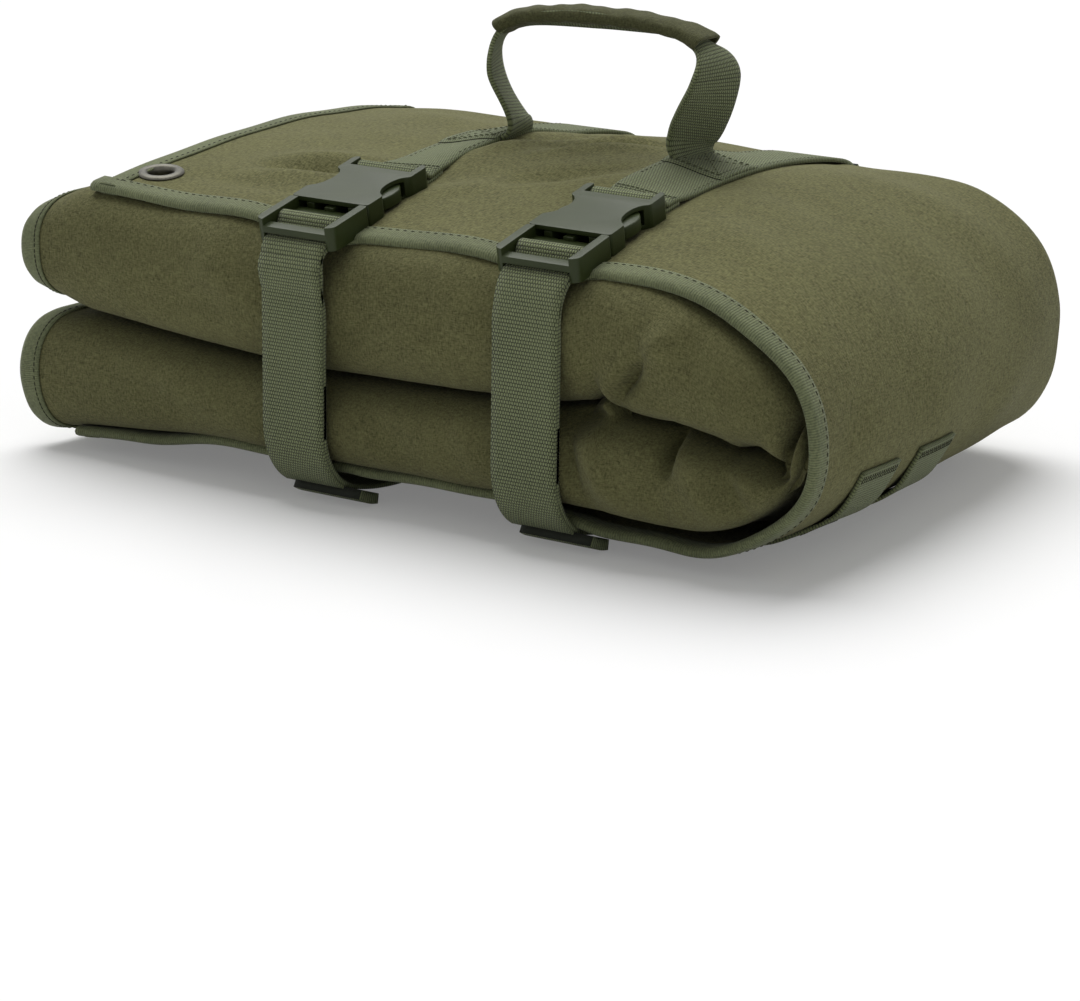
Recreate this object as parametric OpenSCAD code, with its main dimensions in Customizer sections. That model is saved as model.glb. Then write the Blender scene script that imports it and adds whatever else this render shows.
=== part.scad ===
/* [Folded mat] */
// Length of the folded mat from its open left end to the spine
bundle_len = 320; // [300:1:340]
// Depth of each roll from front fold to back fold
roll_depth = 208; // [204:1:220]
// Thickness of the upper roll at its crown
upper_roll_h = 53; // [53:0.5:60]
// Thickness of the lower roll
lower_roll_h = 44.5; // [44:0.5:54]
// Space between the two rolls where the mat is folded in half
book_gap = 2; // [1.6:0.1:4]
// Radius of the front and back folds
fold_r = 19; // [17:0.5:19]
// Radius of the crowned top, seen from the end
crown_top_r = 400; // [360:5:500]
// Distance of the crown's highest line behind the bundle's middle
crown_back = 15; // [5:1:20]
// Radius of the rounded underside, seen from the end
crown_base_r = 420; // [400:10:700]
// Width of the flat that the underside rests on
base_flat = 132; // [130:1:140]

/* [Spine] */
// Length over which the top runs down into the spine
spine_top_run = 90; // [70:1:105]
// Length over which the underside runs up into the spine
spine_base_run = 50; // [40:1:70]
// Height of the widest point of the spine above the lower roll's underside
spine_mid_h = 40; // [34:1:50]
// Thickness of the unpadded band folded inside the spine
spine_t = 9; // [6:0.5:14]

/* [Cover flap] */
// Thickness of the quilted outer flap
cover_t = 2; // [1.4:0.1:3]
// Slack between the flap and the rolls under it
cover_slack = 1.5; // [1.3:0.1:2]
// Distance by which the rolls stick out past the flap's left edges
flap_inset_left = 25; // [16:1:40]
// Distance by which the flap's underside reaches further left than its top
flap_base_reach = 10; // [0.5:0.5:14]
// Distance by which the front folds stand in front of the flap's edge
flap_inset_front = 7; // [4:0.5:12]
// Width of the binding tape on each face
bind_w = 9; // [8:0.5:12]
// Thickness of the binding tape
bind_t = 0.6; // [0.4:0.1:0.7]

/* [Panels] */
// Thickness of one canvas sheet of a padded panel
canvas_t = 0.8; // [0.5:0.1:1.2]
// Thickness of the unpadded panels
sheet_t = 1.6; // [1.2:0.1:2]
// Room for the end flap in the middle of each roll
end_room = 4; // [3.6:0.1:5]
// Clearance between layers lying on one another
lay = 0.1; // [0.05:0.01:0.2]
// Unpadded margin at the left end of each foam pad
pad_margin = 16; // [10:1:30]
// Angle by which the upper roll's top falls along that margin
roll_end_fall = 25; // [10:1:27]

/* [Webbing] */
// Width of the webbing
web_w = 25; // [20:0.5:25.5]
// Thickness of the webbing
web_t = 1.6; // [1.2:0.1:2]
// Distance between the centre lines of the two straps
strap_spacing = 94; // [80:1:110]
// Position of the middle between the straps, right of the bundle's middle
strap_shift = 8; // [-4:1:16]
// Distance from the flap's edge to where each free strap is sewn on
strap_sewn = 160; // [150:1:166]
// Width of the folded hem on each strap's tail
hem_w = 28; // [26:0.5:30]

/* [Buckles] */
// Overall width of the buckles
buckle_w = 32; // [31:0.5:36]
// Overall thickness of the buckles
buckle_t = 8.6; // [8:0.1:10]
// Forward tilt of the buckles at the top front edge
buckle_tilt = 12; // [11:0.5:15]
// Distance of the buckle's mouth behind the flap's front edge
buckle_back = 12.5; // [10:0.5:15]
// Distance by which the left buckle sits further to the front
buckle_stagger = 4.5; // [0:0.5:4.5]
// Clearance under the buckles
buckle_clear = 0.4; // [0.3:0.1:1]
// Width of the plug cavity in the socket half
cavity_w = 27; // [26.6:0.1:27.6]
// Height of the plug cavity in the socket half
cavity_h = 5.4; // [5.2:0.1:5.8]
// Thickness of the prongs
prong_t = 4.6; // [4:0.1:4.6]
// Radius of the bars that hold the webbing
bar_r = 1.9; // [1.7:0.05:2]

/* [Handle] */
// Distance between the two sewn feet of the handle
handle_feet = 70; // [69:1:80]
// Widest span of the handle loop
handle_span = 92; // [90:1:106]
// Rise of the handle above its feet
handle_rise = 48; // [42:1:62]
// Position of the handle behind the bundle's middle
handle_back = 5; // [-10:1:14]
// Position of the handle right of the middle between the straps
handle_shift = 3; // [0:0.5:5]
// Thickness of the handle webbing
handle_t = 2; // [1.6:0.1:2.4]
// Wall of the fabric sleeve round the grip
sleeve_t = 1.4; // [1:0.1:2]

/* [Eyelets] */
// Bore of the corner eyelets
eyelet_bore = 9; // [7:0.5:10]
// Diameter of the eyelets' rolled rims
eyelet_rim = 17; // [15:0.5:18]
// Distance of the eyelets from the flap's left edge
eyelet_in = 12; // [11.5:0.5:20]
// Distance of the eyelets from the flap's front edge
eyelet_up = 20.5; // [20:0.5:24]

/* [Loop strips] */
// Distance from the flap's front edge to the first row of loop strips
strip_row_1 = 45; // [40:1:48]
// Distance from the flap's front edge to the second row of loop strips
strip_row_2 = 87; // [80:1:100]
// Left end of the strips that start on the spine
strip_split = 38; // [30:1:44]
// Length of the strips that lie on the underside
strip_len = 148; // [120:1:160]

/* [Hidden] */
half_len = bundle_len / 2;
half_depth = roll_depth / 2;
cover_o = cover_slack + cover_t;
anchor_o = cover_o + lay;
strap_o = cover_o + web_t + 2 * lay;
tail_o = strap_o + web_t + lay;
mid_y = (web_t + lay) / 2;
zl_lo = strap_o + web_t;
zl_hi = zl_lo + lower_roll_h;
zu_lo = zl_hi + book_gap;
zu_hi = zu_lo + upper_roll_h;
corner_y = half_depth - fold_r;
top_cz = zu_hi - crown_top_r;
flat_drop = crown_base_r - sqrt(pow(crown_base_r, 2) - pow(base_flat / 2, 2));
base_cz = zl_lo - flat_drop + crown_base_r;
edge_y = -half_depth + flap_inset_front;
flap_x = -half_len + flap_inset_left;
flap_base_x = flap_x - flap_base_reach;
spine_x = half_len - cover_o;
spine_z = zl_lo + spine_mid_h;
strap_x = [strap_shift - strap_spacing / 2, strap_shift + strap_spacing / 2];
pad_upper = (upper_roll_h - end_room - 2 * sheet_t - 4 * lay) / 4;
pad_lower = (lower_roll_h - end_room - 2 * sheet_t - 4 * lay) / 4;
leg_end_y = corner_y + 4;
arc_steps = 7;

// Points of an arc round a centre
function arc_pts(c, r, a0, a1, n = arc_steps) =
    [for (i = [0:n]) let (a = a0 + (a1 - a0) * i / n) c + r * [cos(a), sin(a)]];
// Corner radius left at an offset, and how far the corner's centre moves in
function corner_r(o) = max(fold_r + o, 0.5);
function corner_in(o) = corner_r(o) - fold_r - o;
function corner_at(o) = corner_y - corner_in(o);
// The crowns flatten out towards the middle of each roll
function top_k(o) = o >= 0 ? 1 : max(1 + 2 * o / upper_roll_h, 0.02);
function base_k(o) = o >= 0 ? 1 : max(1 + 2 * o / lower_roll_h, 0.02);
function top_r(o) = crown_top_r / top_k(o) + max(o, 0);
function base_r(o) = crown_base_r / base_k(o) + max(o, 0);
function top_c(o) = zu_hi + o - top_r(o);
function base_c(o) = zl_lo - o - flat_drop * base_k(o) + base_r(o);
// Height and end angle of the crown's corners, at the back (s = 1) and at the front (s = -1)
function top_z(o, s) = top_c(o)
    + sqrt(pow(top_r(o) - corner_r(o), 2) - pow(corner_at(o) - s * crown_back, 2));
function base_z(o) = base_c(o) - sqrt(pow(base_r(o) - corner_r(o), 2) - pow(corner_at(o), 2));
function top_a(o, s) = atan2(top_z(o, s) - top_c(o), corner_at(o) - s * crown_back);
function base_a(o) = atan2(base_c(o) - base_z(o), corner_at(o));
function flat_y(o) = sqrt(pow(base_r(o), 2) - pow(base_c(o) - zl_lo + o, 2));
function flat_a(o) = acos(flat_y(o) / base_r(o));

// Crowned upper side, from the back to the front
function top_side(o) = concat(
    arc_pts([corner_at(o), top_z(o, 1)], corner_r(o), 0, top_a(o, 1)),
    arc_pts([crown_back, top_c(o)], top_r(o), top_a(o, 1), 180 - top_a(o, -1), 12),
    arc_pts([-corner_at(o), top_z(o, -1)], corner_r(o), 180 - top_a(o, -1), 180));
// Rounded underside with its flat, from the front to the back
function base_side(o) = concat(
    arc_pts([-corner_at(o), base_z(o)], corner_r(o), 180, 180 + base_a(o)),
    arc_pts([0, base_c(o)], base_r(o), 180 + base_a(o), 180 + flat_a(o), 2),
    arc_pts([0, base_c(o)], base_r(o), -flat_a(o), -base_a(o), 2),
    arc_pts([corner_at(o), base_z(o)], corner_r(o), -base_a(o), 0));
function flat_side(z, s, o) = s > 0
    ? concat(
        arc_pts([corner_at(o), z - corner_r(o)], corner_r(o), 0, 90),
        arc_pts([-corner_at(o), z - corner_r(o)], corner_r(o), 90, 180))
    : concat(
        arc_pts([-corner_at(o), z + corner_r(o)], corner_r(o), 180, 270),
        arc_pts([corner_at(o), z + corner_r(o)], corner_r(o), 270, 360));

// Section of the upper roll, grown or shrunk by an offset
module upper_2d(o) {
    polygon(concat(top_side(o), flat_side(zu_lo - o, -1, o)));
}
// Section of the lower roll
module lower_2d(o) {
    polygon(concat(flat_side(zl_hi + o, 1, o), base_side(o)));
}
module roll_2d(up, o) {
    if (up) upper_2d(o);
    else lower_2d(o);
}
// Section round both rolls
module bundle_2d(o) {
    polygon(concat(top_side(o), base_side(o)));
}
// Side view with the rounded spine at the right
module book_2d(o) {
    c1 = [spine_x - spine_top_run, spine_z];
    c2 = [spine_x - spine_base_run, spine_z];
    polygon(concat(
        [[-half_len - 40, zu_hi + o], [-half_len - 40, zl_lo - o]],
        [for (i = [0:10]) c2 + [(spine_base_run + o) * cos(9 * i - 90),
            (spine_mid_h + o) * sin(9 * i - 90)]],
        [for (i = [1:12]) c1 + [(spine_top_run + o) * cos(7.5 * i),
            (zu_hi - spine_z + o) * sin(7.5 * i)]]));
}
// Places a section drawn in depth and height along the length
module along_x(x0, x1) {
    translate([x0, mid_y, 0]) rotate([90, 0, 90]) linear_extrude(x1 - x0) children();
}
// Places a side view drawn in length and height along the depth
module along_y(y0, y1) {
    translate([0, y1 + mid_y, 0]) rotate([90, 0, 0]) linear_extrude(y1 - y0) children();
}
module slab(x0, x1, y0, y1, z0, z1) {
    translate([x0, y0 + mid_y, z0]) cube([x1 - x0, y1 - y0, z1 - z0]);
}

// Outer form of the folded mat at an offset
module bundle(o) {
    intersection() {
        along_y(-half_depth - 30, half_depth + 30) book_2d(o);
        union() {
            along_x(-half_len - 30, half_len + 30) {
                upper_2d(o);
                lower_2d(o);
            }
            along_x(spine_x - 62 - o, half_len + 30) bundle_2d(o);
        }
    }
}
// Space between the rolls, which the flap and its binding leave free
module book_slot() {
    slab(-half_len - 50, spine_x - 55, -half_depth - 50, corner_y + 5,
        zl_hi - fold_r + 4, zu_lo + fold_r - 4);
}
module flap_shell(outer, inner, gap) {
    difference() {
        bundle(outer);
        bundle(inner);
        slab(-half_len - 50, half_len + 50, -half_depth - 60, edge_y - gap, -10, 200);
        slab(-half_len - 60, flap_x - gap, -half_depth - 70, half_depth + 50, zl_hi + book_gap / 2, 200);
        slab(-half_len - 65, flap_base_x - gap, -half_depth - 75, half_depth + 55, -15, 205);
        book_slot();
    }
}

module cover_flap() {
    color("darkolivegreen") difference() {
        flap_shell(cover_o, cover_slack, 0);
        at_top_eyelet() cylinder(r = eyelet_bore / 2 + 0.8, h = 12, center = true, $fn = 48);
        at_base_eyelet() cylinder(r = eyelet_bore / 2 + 0.8, h = 12, center = true, $fn = 48);
    }
}
module cover_binding() {
    color("olivedrab") difference() {
        flap_shell(cover_o + bind_t, cover_slack - bind_t, bind_t);
        flap_shell(cover_o + 0.03, cover_slack - 0.03, 0.03);
        slab(flap_x + bind_w, half_len + 50, edge_y + bind_w, half_depth + 60, -20, 220);
        slab(flap_base_x + bind_w, half_len + 55, edge_y + bind_w, half_depth + 65,
            -25, zl_hi + book_gap / 2 - bind_w);
        at_top_eyelet() cylinder(r = eyelet_rim / 2 + 0.3, h = 12, center = true, $fn = 48);
    }
}

// Roll layer between two depths, open at the back
module layer(up, o0, o1, x0, x1) {
    difference() {
        intersection() {
            along_x(x0, x1) difference() {
                roll_2d(up, -o0);
                roll_2d(up, -o1);
            }
            translate([-spine_t - lay, 0, 0])
                along_y(-half_depth - 40, half_depth + 40) book_2d(-lay - o0);
        }
        slab(-half_len - 70, half_len + 70, leg_end(o1), half_depth + 70, -20, 220);
    }
}
// Back end of a layer's two legs, so that every layer is open there
function leg_end(o) = min(leg_end_y, half_depth - o - 2);
function pad_of(up) = up ? pad_upper : pad_lower;
function centre_o(up) = pad_of(up) + lay;
function inner_o(up) = centre_o(up) + sheet_t + lay;

module panel_a(up) {
    color("darkolivegreen") difference() {
        falling(up, 0) layer(up, 0, pad_of(up), -half_len + bind_t, half_len);
        layer_room(up, canvas_t, pad_of(up) - canvas_t, -half_len + pad_margin, 0);
    }
}
// The top of the upper roll falls towards its open left end, from the foam's edge on
module falling(up, o) {
    if (up) intersection() {
        children();
        translate([fall_x, 0, zu_hi]) rotate([0, -roll_end_fall, 0]) translate([-fall_x, 0, -zu_hi])
            along_x(-half_len - 90, half_len + 160) polygon(concat(top_side(o),
                [[-half_depth - 9, top_z(o, -1)], [-half_depth - 9, -200],
                [half_depth + 9, -200], [half_depth + 9, top_z(o, 1)]]));
    }
    else children();
}
fall_x = -half_len + min(pad_margin, 17) + 0.4;
module foam_a(up) {
    color("gainsboro") layer_pad(up, canvas_t + lay / 2, pad_of(up) - canvas_t - lay / 2,
        -half_len + pad_margin + 0.2, 0.2);
}
module panel_b(up) {
    color("darkolivegreen") difference() {
        layer(up, inner_o(up), inner_o(up) + pad_of(up), -half_len + 3, half_len);
        layer_room(up, inner_o(up) + canvas_t, inner_o(up) + pad_of(up) - canvas_t,
            -half_len + pad_margin + 3, 0);
    }
}
module foam_b(up) {
    color("gainsboro") layer_pad(up, inner_o(up) + canvas_t + lay / 2,
        inner_o(up) + pad_of(up) - canvas_t - lay / 2, -half_len + pad_margin + 3.2, 0.2);
}
// Pocket that a foam pad fills, open at the back ends of the panel
module layer_room(up, o0, o1, x0, cut) {
    along_x(x0, pad_end_x - cut) difference() {
        roll_2d(up, -o0);
        roll_2d(up, -o1);
    }
}
module layer_pad(up, o0, o1, x0, cut) {
    difference() {
        layer_room(up, o0, o1, x0, cut);
        slab(-half_len - 70, half_len + 70, leg_end(o1 + canvas_t) - 0.5, half_depth + 70, -20, 220);
    }
}
pad_end_x = spine_x - spine_top_run + 8;

module centre_panel(up) {
    color("olive") layer(up, centre_o(up), centre_o(up) + sheet_t, -half_len + 1.5, half_len);
}
module end_flap(up) {
    z = up ? zu_hi - inner_o(up) - pad_of(up) - end_room / 2
        : zl_lo + inner_o(up) + pad_of(up) + end_room / 2;
    end_back = leg_end(inner_o(up) + pad_of(up)) - 2;
    color("olive") difference() {
        slab(-half_len + 4.5, pad_end_x + 24, -end_y, end_back, z - sheet_t / 2, z + sheet_t / 2);
        translate([end_eyelet[0], end_eyelet[1] + mid_y, z])
            cylinder(r = eyelet_bore / 2 + 0.8, h = 12, center = true, $fn = 48);
    }
}
end_y = half_depth - pad_upper * 2 - sheet_t - 14;
end_eyelet = [-half_len + 22, -end_y + 20];

module spine_fold() {
    color("darkolivegreen") difference() {
        intersection() {
            along_y(-half_depth - 40, half_depth + 40) difference() {
                book_2d(-lay);
                translate([-spine_t, 0]) book_2d(-lay);
            }
            along_x(0, half_len + 30) bundle_2d(-2);
        }
        slab(-half_len, half_len + 40, -half_depth - 90, half_depth + 90, zu_hi - 14, zu_hi + 40);
        slab(-half_len, half_len + 40, -half_depth - 90, half_depth + 90, zl_lo - 40, zl_lo + 7);
    }
}
// Tape over the left edge of each roll
module roll_binding(up) {
    color("olivedrab") difference() {
        falling(up, bind_t) along_x(-half_len, -half_len + bind_w) roll_2d(up, bind_t);
        falling(up, 0.03) along_x(-half_len + bind_t - 0.02, half_len) roll_2d(up, 0.03);
        along_x(-half_len - 9, half_len) roll_2d(up, -pad_of(up) + 1);
        slab(-half_len - 70, half_len + 70, leg_end_y, half_depth + 70, -20, 220);
    }
}

// Band of webbing laid round the bundle, between two offsets
module band_2d(o0, o1) {
    difference() {
        bundle_2d(o1);
        bundle_2d(o0);
    }
}
module window_2d(y0, y1, z0, z1) {
    translate([y0, z0]) square([y1 - y0, z1 - z0]);
}
module web_extrude(x, w = web_w) {
    along_x(x - w / 2, x + w / 2) children();
}

// Buckle frame: origin at the mouth, first axis across, second axis to the back
tilt_up = [-sin(buckle_tilt), cos(buckle_tilt)];
tilt_back = [cos(buckle_tilt), sin(buckle_tilt)];
// The buckles lie on the crown or on the bound front corner, whichever stands higher
touch_r = max(crown_top_r + cover_o, (crown_top_r - fold_r) * cos(top_a(0, -1) + buckle_tilt - 90)
    + fold_r + cover_o + bind_t) + buckle_clear + buckle_t / 2;
touch = [crown_back, top_cz] + touch_r * tilt_up;
right_mouth = touch + (edge_y + buckle_back - touch[0]) / tilt_back[0] * tilt_back;
mouths = [right_mouth - buckle_stagger * tilt_back, right_mouth];
socket_bar_y = 36.5;
lock_bar_y = -10.6;
module at_mouth(i) {
    translate([strap_x[i], mouths[i][0] + mid_y, mouths[i][1]]) rotate([buckle_tilt, 0, 0]) children();
}
function surface_z(y, o) = top_cz + sqrt(pow(crown_top_r + o, 2) - pow(y - crown_back, 2));

// Sewn webbing that holds the socket half of a buckle
module anchor_strap(i) {
    socket_bar = mouths[i] + socket_bar_y * tilt_back;
    y1 = socket_bar[0] + 20;
    y2 = min(edge_y + strap_sewn + 24, corner_y);
    steps = [for (k = [0:10]) y1 + (y2 - y1) * k / 10];
    color("olive") web_extrude(strap_x[i]) difference() {
        polygon(concat(
            arc_pts(socket_bar, bar_r + 0.1 + web_t, 285, 75, 14),
            [for (y = steps) [y, surface_z(y, anchor_o + web_t)]],
            [for (k = [10:-1:0]) [steps[k], surface_z(steps[k], anchor_o)]]));
        translate(socket_bar) circle(r = bar_r + 0.1, $fn = 40);
    }
}
// Height on the front where a strap's free end starts
split_z = zl_lo + 28;
// Free strap: over the back, under the bundle and up the lower front
module strap(i) {
    color("olive") web_extrude(strap_x[i]) difference() {
        band_2d(strap_o, strap_o + web_t);
        window_2d(-half_depth - 40, edge_y + strap_sewn, spine_z, zu_hi + 60);
        window_2d(-half_depth - 40, 0, split_z, zu_hi + 60);
    }
}
// Lower part of the strap's tail with its folded hem under the front edge
module strap_tail(i) {
    color("olive") {
        web_extrude(strap_x[i]) intersection() {
            band_2d(tail_o, tail_o + web_t);
            window_2d(-half_depth - 40, -corner_y - 2, -30, split_z);
        }
        web_extrude(strap_x[i] + 6, hem_w) difference() {
            bundle_2d(tail_o + web_t + 2.4);
            bundle_2d(tail_o + 0.1);
            window_2d(-half_depth - 40, half_depth + 40, zl_lo + 12, zu_hi + 60);
            window_2d(-half_depth - 40, -corner_y - 12, -30, zl_lo + 20);
            window_2d(-corner_y - 2, half_depth + 40, -30, zl_lo + 20);
            window_2d(-half_depth, half_depth, -30, 0.05);
        }
    }
}
// Front end of a strap: up to the ladder lock, round its bar and down again as the tail
module strap_end(i) {
    lock_bar = mouths[i] + lock_bar_y * tilt_back;
    lift = tilt_up * (-buckle_t / 2 + 1.7);
    bend = mouths[i] - 21.5 * tilt_back + lift;
    knee_z = min(top_z(0, -1), bend[1] - 12);
    front_in = -half_depth - strap_o;
    front_out = -half_depth - tail_o - web_t;
    color("olive") web_extrude(strap_x[i]) difference() {
        union() {
            polygon([[front_in, knee_z], [front_in, split_z + lay], [front_out, split_z + lay],
                [front_out, knee_z], bend - 1.65 * tilt_back, bend + 1.65 * tilt_up,
                lock_bar + lift + 1.65 * tilt_up, lock_bar + lift - 1.65 * tilt_up,
                bend + 1.65 * tilt_back - 1.65 * tilt_up]);
            translate(lock_bar) circle(r = bar_r + 0.1 + web_t, $fn = 40);
        }
        translate(lock_bar) circle(r = bar_r + 0.1, $fn = 40);
    }
}

// Socket half of a buckle, held by its rear bar
module female_buckle(i) {
    color("dimgray") at_mouth(i) {
        difference() {
            translate([0, 0, -buckle_t / 2]) linear_extrude(buckle_t) difference() {
                union() {
                    translate([-buckle_w / 2, 0]) square([buckle_w, 10.5]);
                    translate([-11.5, 0]) square([23, 31]);
                    translate([-buckle_w / 2 + 0.5, 27.5]) square([buckle_w - 1, 10]);
                }
                for (s = [-1, 1]) translate([s * 20, 19]) circle(r = 9, $fn = 64);
                translate([-web_w / 2 - 0.4, 31]) square([web_w + 0.8, 12]);
            }
            translate([-cavity_w / 2, -1, -cavity_h / 2]) cube([cavity_w, 28, cavity_h]);
        }
        translate([-buckle_w / 2 + 1, socket_bar_y, 0]) rotate([0, 90, 0])
            cylinder(r = bar_r, h = buckle_w - 2, $fn = 40);
    }
}
// Plug half of a buckle with its ladder lock and centre guide
module male_buckle(i) {
    color("dimgray") at_mouth(i) {
        difference() {
            translate([-buckle_w / 2, -21, -buckle_t / 2]) cube([buckle_w, 20.7, buckle_t]);
            translate([-web_w / 2 - 0.4, -17.4, -10]) cube([web_w + 0.8, 13.2, 20]);
            translate([-web_w / 2 - 0.4, -22, -10]) cube([web_w + 0.8, 6, 10 - buckle_t / 2 + 3.6]);
        }
        translate([-buckle_w / 2 + 1, lock_bar_y, 0]) rotate([0, 90, 0])
            cylinder(r = bar_r, h = buckle_w - 2, $fn = 40);
        translate([-2, -1, -1.8]) cube([4, 25, 3.6]);
    }
}
// Spring prong of the plug half; s is the side
module prong(i, s) {
    color("dimgray") at_mouth(i) mirror([s < 0 ? 1 : 0, 0, 0])
        translate([0, 0, -prong_t / 2]) linear_extrude(prong_t)
            polygon([[7, 0.4], [10.4, 0.4], [10.4, 10.9], [15, 10.9], [15.6, 16],
                [15.2, 21], [12, 25.5], [7, 26]]);
}

// Handle loop in its own plane: legs first, then the grip
foot = [handle_feet / 2, 0];
shoulder = [handle_span / 2, handle_rise * 0.66];
function bez(p, t) = pow(1 - t, 3) * p[0] + 3 * t * pow(1 - t, 2) * p[1]
    + 3 * t * t * (1 - t) * p[2] + pow(t, 3) * p[3];
leg_curve = [foot, foot + [5, 11], shoulder - [0, 11], shoulder];
grip_curve = [shoulder, shoulder + [0, 13], [handle_span * 0.36, handle_rise - 0.4], [0, handle_rise]];
leg_pts = [for (i = [0:8]) bez(leg_curve, 0.97 * i / 8)];
half_grip = [for (i = [0:12]) bez(grip_curve, i / 12)];
grip_pts = concat(half_grip, [for (i = [11:-1:0]) [-half_grip[i][0], half_grip[i][1]]]);
sleeve_pts = [for (i = [4:20]) grip_pts[i]];
function unit(v) = v / norm(v);
function side(p, i) = let (d = unit(p[min(i + 1, len(p) - 1)] - p[max(i - 1, 0)])) [-d[1], d[0]];
function ribbon(p, t) = concat([for (i = [0:len(p) - 1]) p[i] + side(p, i) * t / 2],
    [for (i = [len(p) - 1:-1:0]) p[i] - side(p, i) * t / 2]);
foot_z = surface_z(handle_back + web_w / 2, anchor_o + web_t) + 3.3;
module at_handle() {
    translate([strap_shift + handle_shift, handle_back + mid_y, foot_z]) rotate([90, 0, 0]) children();
}
module handle_leg(s) {
    color("olive") at_handle() translate([0, 0, -web_w / 2]) linear_extrude(web_w)
        mirror([s < 0 ? 1 : 0, 0]) polygon(ribbon(leg_pts, handle_t));
}
module handle_grip() {
    color("olive") at_handle() translate([0, 0, -web_w / 2]) linear_extrude(web_w)
        polygon(ribbon(grip_pts, handle_t));
}
module handle_sleeve() {
    color("darkolivegreen") at_handle() difference() {
        translate([0, 0, -web_w / 2 - 2]) linear_extrude(web_w + 4)
            polygon(ribbon(sleeve_pts, handle_t + 0.4 + 2 * sleeve_t));
        translate([0, 0, -web_w / 2 - 0.3]) linear_extrude(web_w + 0.6)
            polygon(ribbon(grip_pts, handle_t + 0.4));
    }
}
// Sewn ends of the handle on top of the anchor straps
module handle_feet_tabs() {
    color("olive") for (s = [-1, 1]) {
        x = strap_shift + s * strap_spacing / 2;
        along_x(x - web_w / 2 + 1, x + web_w / 2 - 1) intersection() {
            band_2d(anchor_o + web_t + lay, anchor_o + web_t + lay + handle_t);
            window_2d(handle_back - web_w / 2, handle_back + web_w / 2, spine_z, zu_hi + 60);
        }
    }
}

// Eyelet places on the flap's front corners, along the surface normal
eyelet_y = edge_y + eyelet_up;
eyelet_x = flap_x + eyelet_in;
top_lean = asin((crown_back - eyelet_y) / (crown_top_r + cover_o));
base_lean = asin(-eyelet_y / (crown_base_r + cover_o));
module at_top_eyelet() {
    translate([eyelet_x, mid_y + crown_back, top_cz]) rotate([top_lean, 0, 0])
        translate([0, 0, crown_top_r + cover_o]) children();
}
module at_base_eyelet() {
    translate([eyelet_x, mid_y, base_cz]) rotate([180 - base_lean, 0, 0])
        translate([0, 0, crown_base_r + cover_o]) children();
}
module at_end_eyelet(up) {
    z = up ? zu_hi - inner_o(up) - pad_of(up) - end_room / 2
        : zl_lo + inner_o(up) + pad_of(up) + end_room / 2;
    translate([end_eyelet[0], end_eyelet[1] + mid_y, z + sheet_t / 2]) children();
}
module eyelet_ring(depth, rim_t) {
    rotate_extrude($fn = 64) difference() {
        union() {
            translate([eyelet_bore / 2, 0.05]) square([(eyelet_rim - eyelet_bore) / 2, rim_t]);
            translate([eyelet_bore / 2, -depth]) square([0.7, depth + 0.1]);
        }
        translate([eyelet_rim / 2 + 0.2, rim_t + 0.3]) circle(r = 0.45, $fn = 24);
    }
}
module washer_ring(depth, t) {
    rotate_extrude($fn = 64) translate([eyelet_bore / 2 + 0.75, -depth])
        square([(eyelet_rim - eyelet_bore) / 2 - 1.2, t]);
}
module eyelets() {
    color("silver") {
        at_top_eyelet() eyelet_ring(cover_t + 0.8, 0.8);
        at_base_eyelet() eyelet_ring(cover_t + 0.8, 0.8);
        for (up = [true, false]) at_end_eyelet(up) eyelet_ring(sheet_t + 0.6, 0.6);
    }
}
module eyelet_washers() {
    color("silver") {
        at_top_eyelet() washer_ring(cover_t + 0.8, 0.5);
        at_base_eyelet() washer_ring(cover_t + 0.8, 0.5);
        for (up = [true, false]) at_end_eyelet(up) washer_ring(sheet_t + 0.65, 0.55);
    }
}

// Loop strips: two rows, each with a strip on the spine and one on the underside
module loop_strip(row, low) {
    y = edge_y + (row == 1 ? strip_row_1 : strip_row_2);
    color("olive") along_y(y - web_w / 2, y + web_w / 2) intersection() {
        difference() {
            book_2d(cover_o + lay + web_t);
            book_2d(cover_o + lay);
        }
        if (low) window_2d(strip_split - 10 - strip_len, strip_split - 10, -10, zl_lo);
        else window_2d(strip_split, half_len + 20, -10, spine_z - 13);
    }
}

cover_flap();
cover_binding();
panel_a(true);  // panel_a_upper
panel_a(false);  // panel_a_lower
foam_a(true);  // foam_a_upper
foam_a(false);  // foam_a_lower
centre_panel(true);  // centre_panel_upper
centre_panel(false);  // centre_panel_lower
panel_b(true);  // panel_b_upper
panel_b(false);  // panel_b_lower
foam_b(true);  // foam_b_upper
foam_b(false);  // foam_b_lower
end_flap(true);  // end_flap_upper
end_flap(false);  // end_flap_lower
spine_fold();
roll_binding(true);  // roll_binding_upper
roll_binding(false);  // roll_binding_lower
anchor_strap(0);  // anchor_strap_left
anchor_strap(1);  // anchor_strap_right
strap(0);  // strap_left
strap(1);  // strap_right
strap_tail(0);  // strap_tail_left
strap_tail(1);  // strap_tail_right
strap_end(0);  // strap_end_left
strap_end(1);  // strap_end_right
female_buckle(0);  // female_buckle_left
female_buckle(1);  // female_buckle_right
male_buckle(0);  // male_buckle_left
male_buckle(1);  // male_buckle_right
prong(0, -1);  // prong_left_l
prong(0, 1);  // prong_left_r
prong(1, -1);  // prong_right_l
prong(1, 1);  // prong_right_r
handle_feet_tabs();
handle_leg(-1);  // handle_leg_left
handle_leg(1);  // handle_leg_right
handle_grip();
handle_sleeve();
eyelets();
eyelet_washers();
loop_strip(1, false);  // loop_strip_spine_1
loop_strip(2, false);  // loop_strip_spine_2
loop_strip(1, true);  // loop_strip_base_1
loop_strip(2, true);  // loop_strip_base_2
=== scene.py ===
import math

import bpy
import numpy as np
from mathutils import Matrix, Vector


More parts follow.
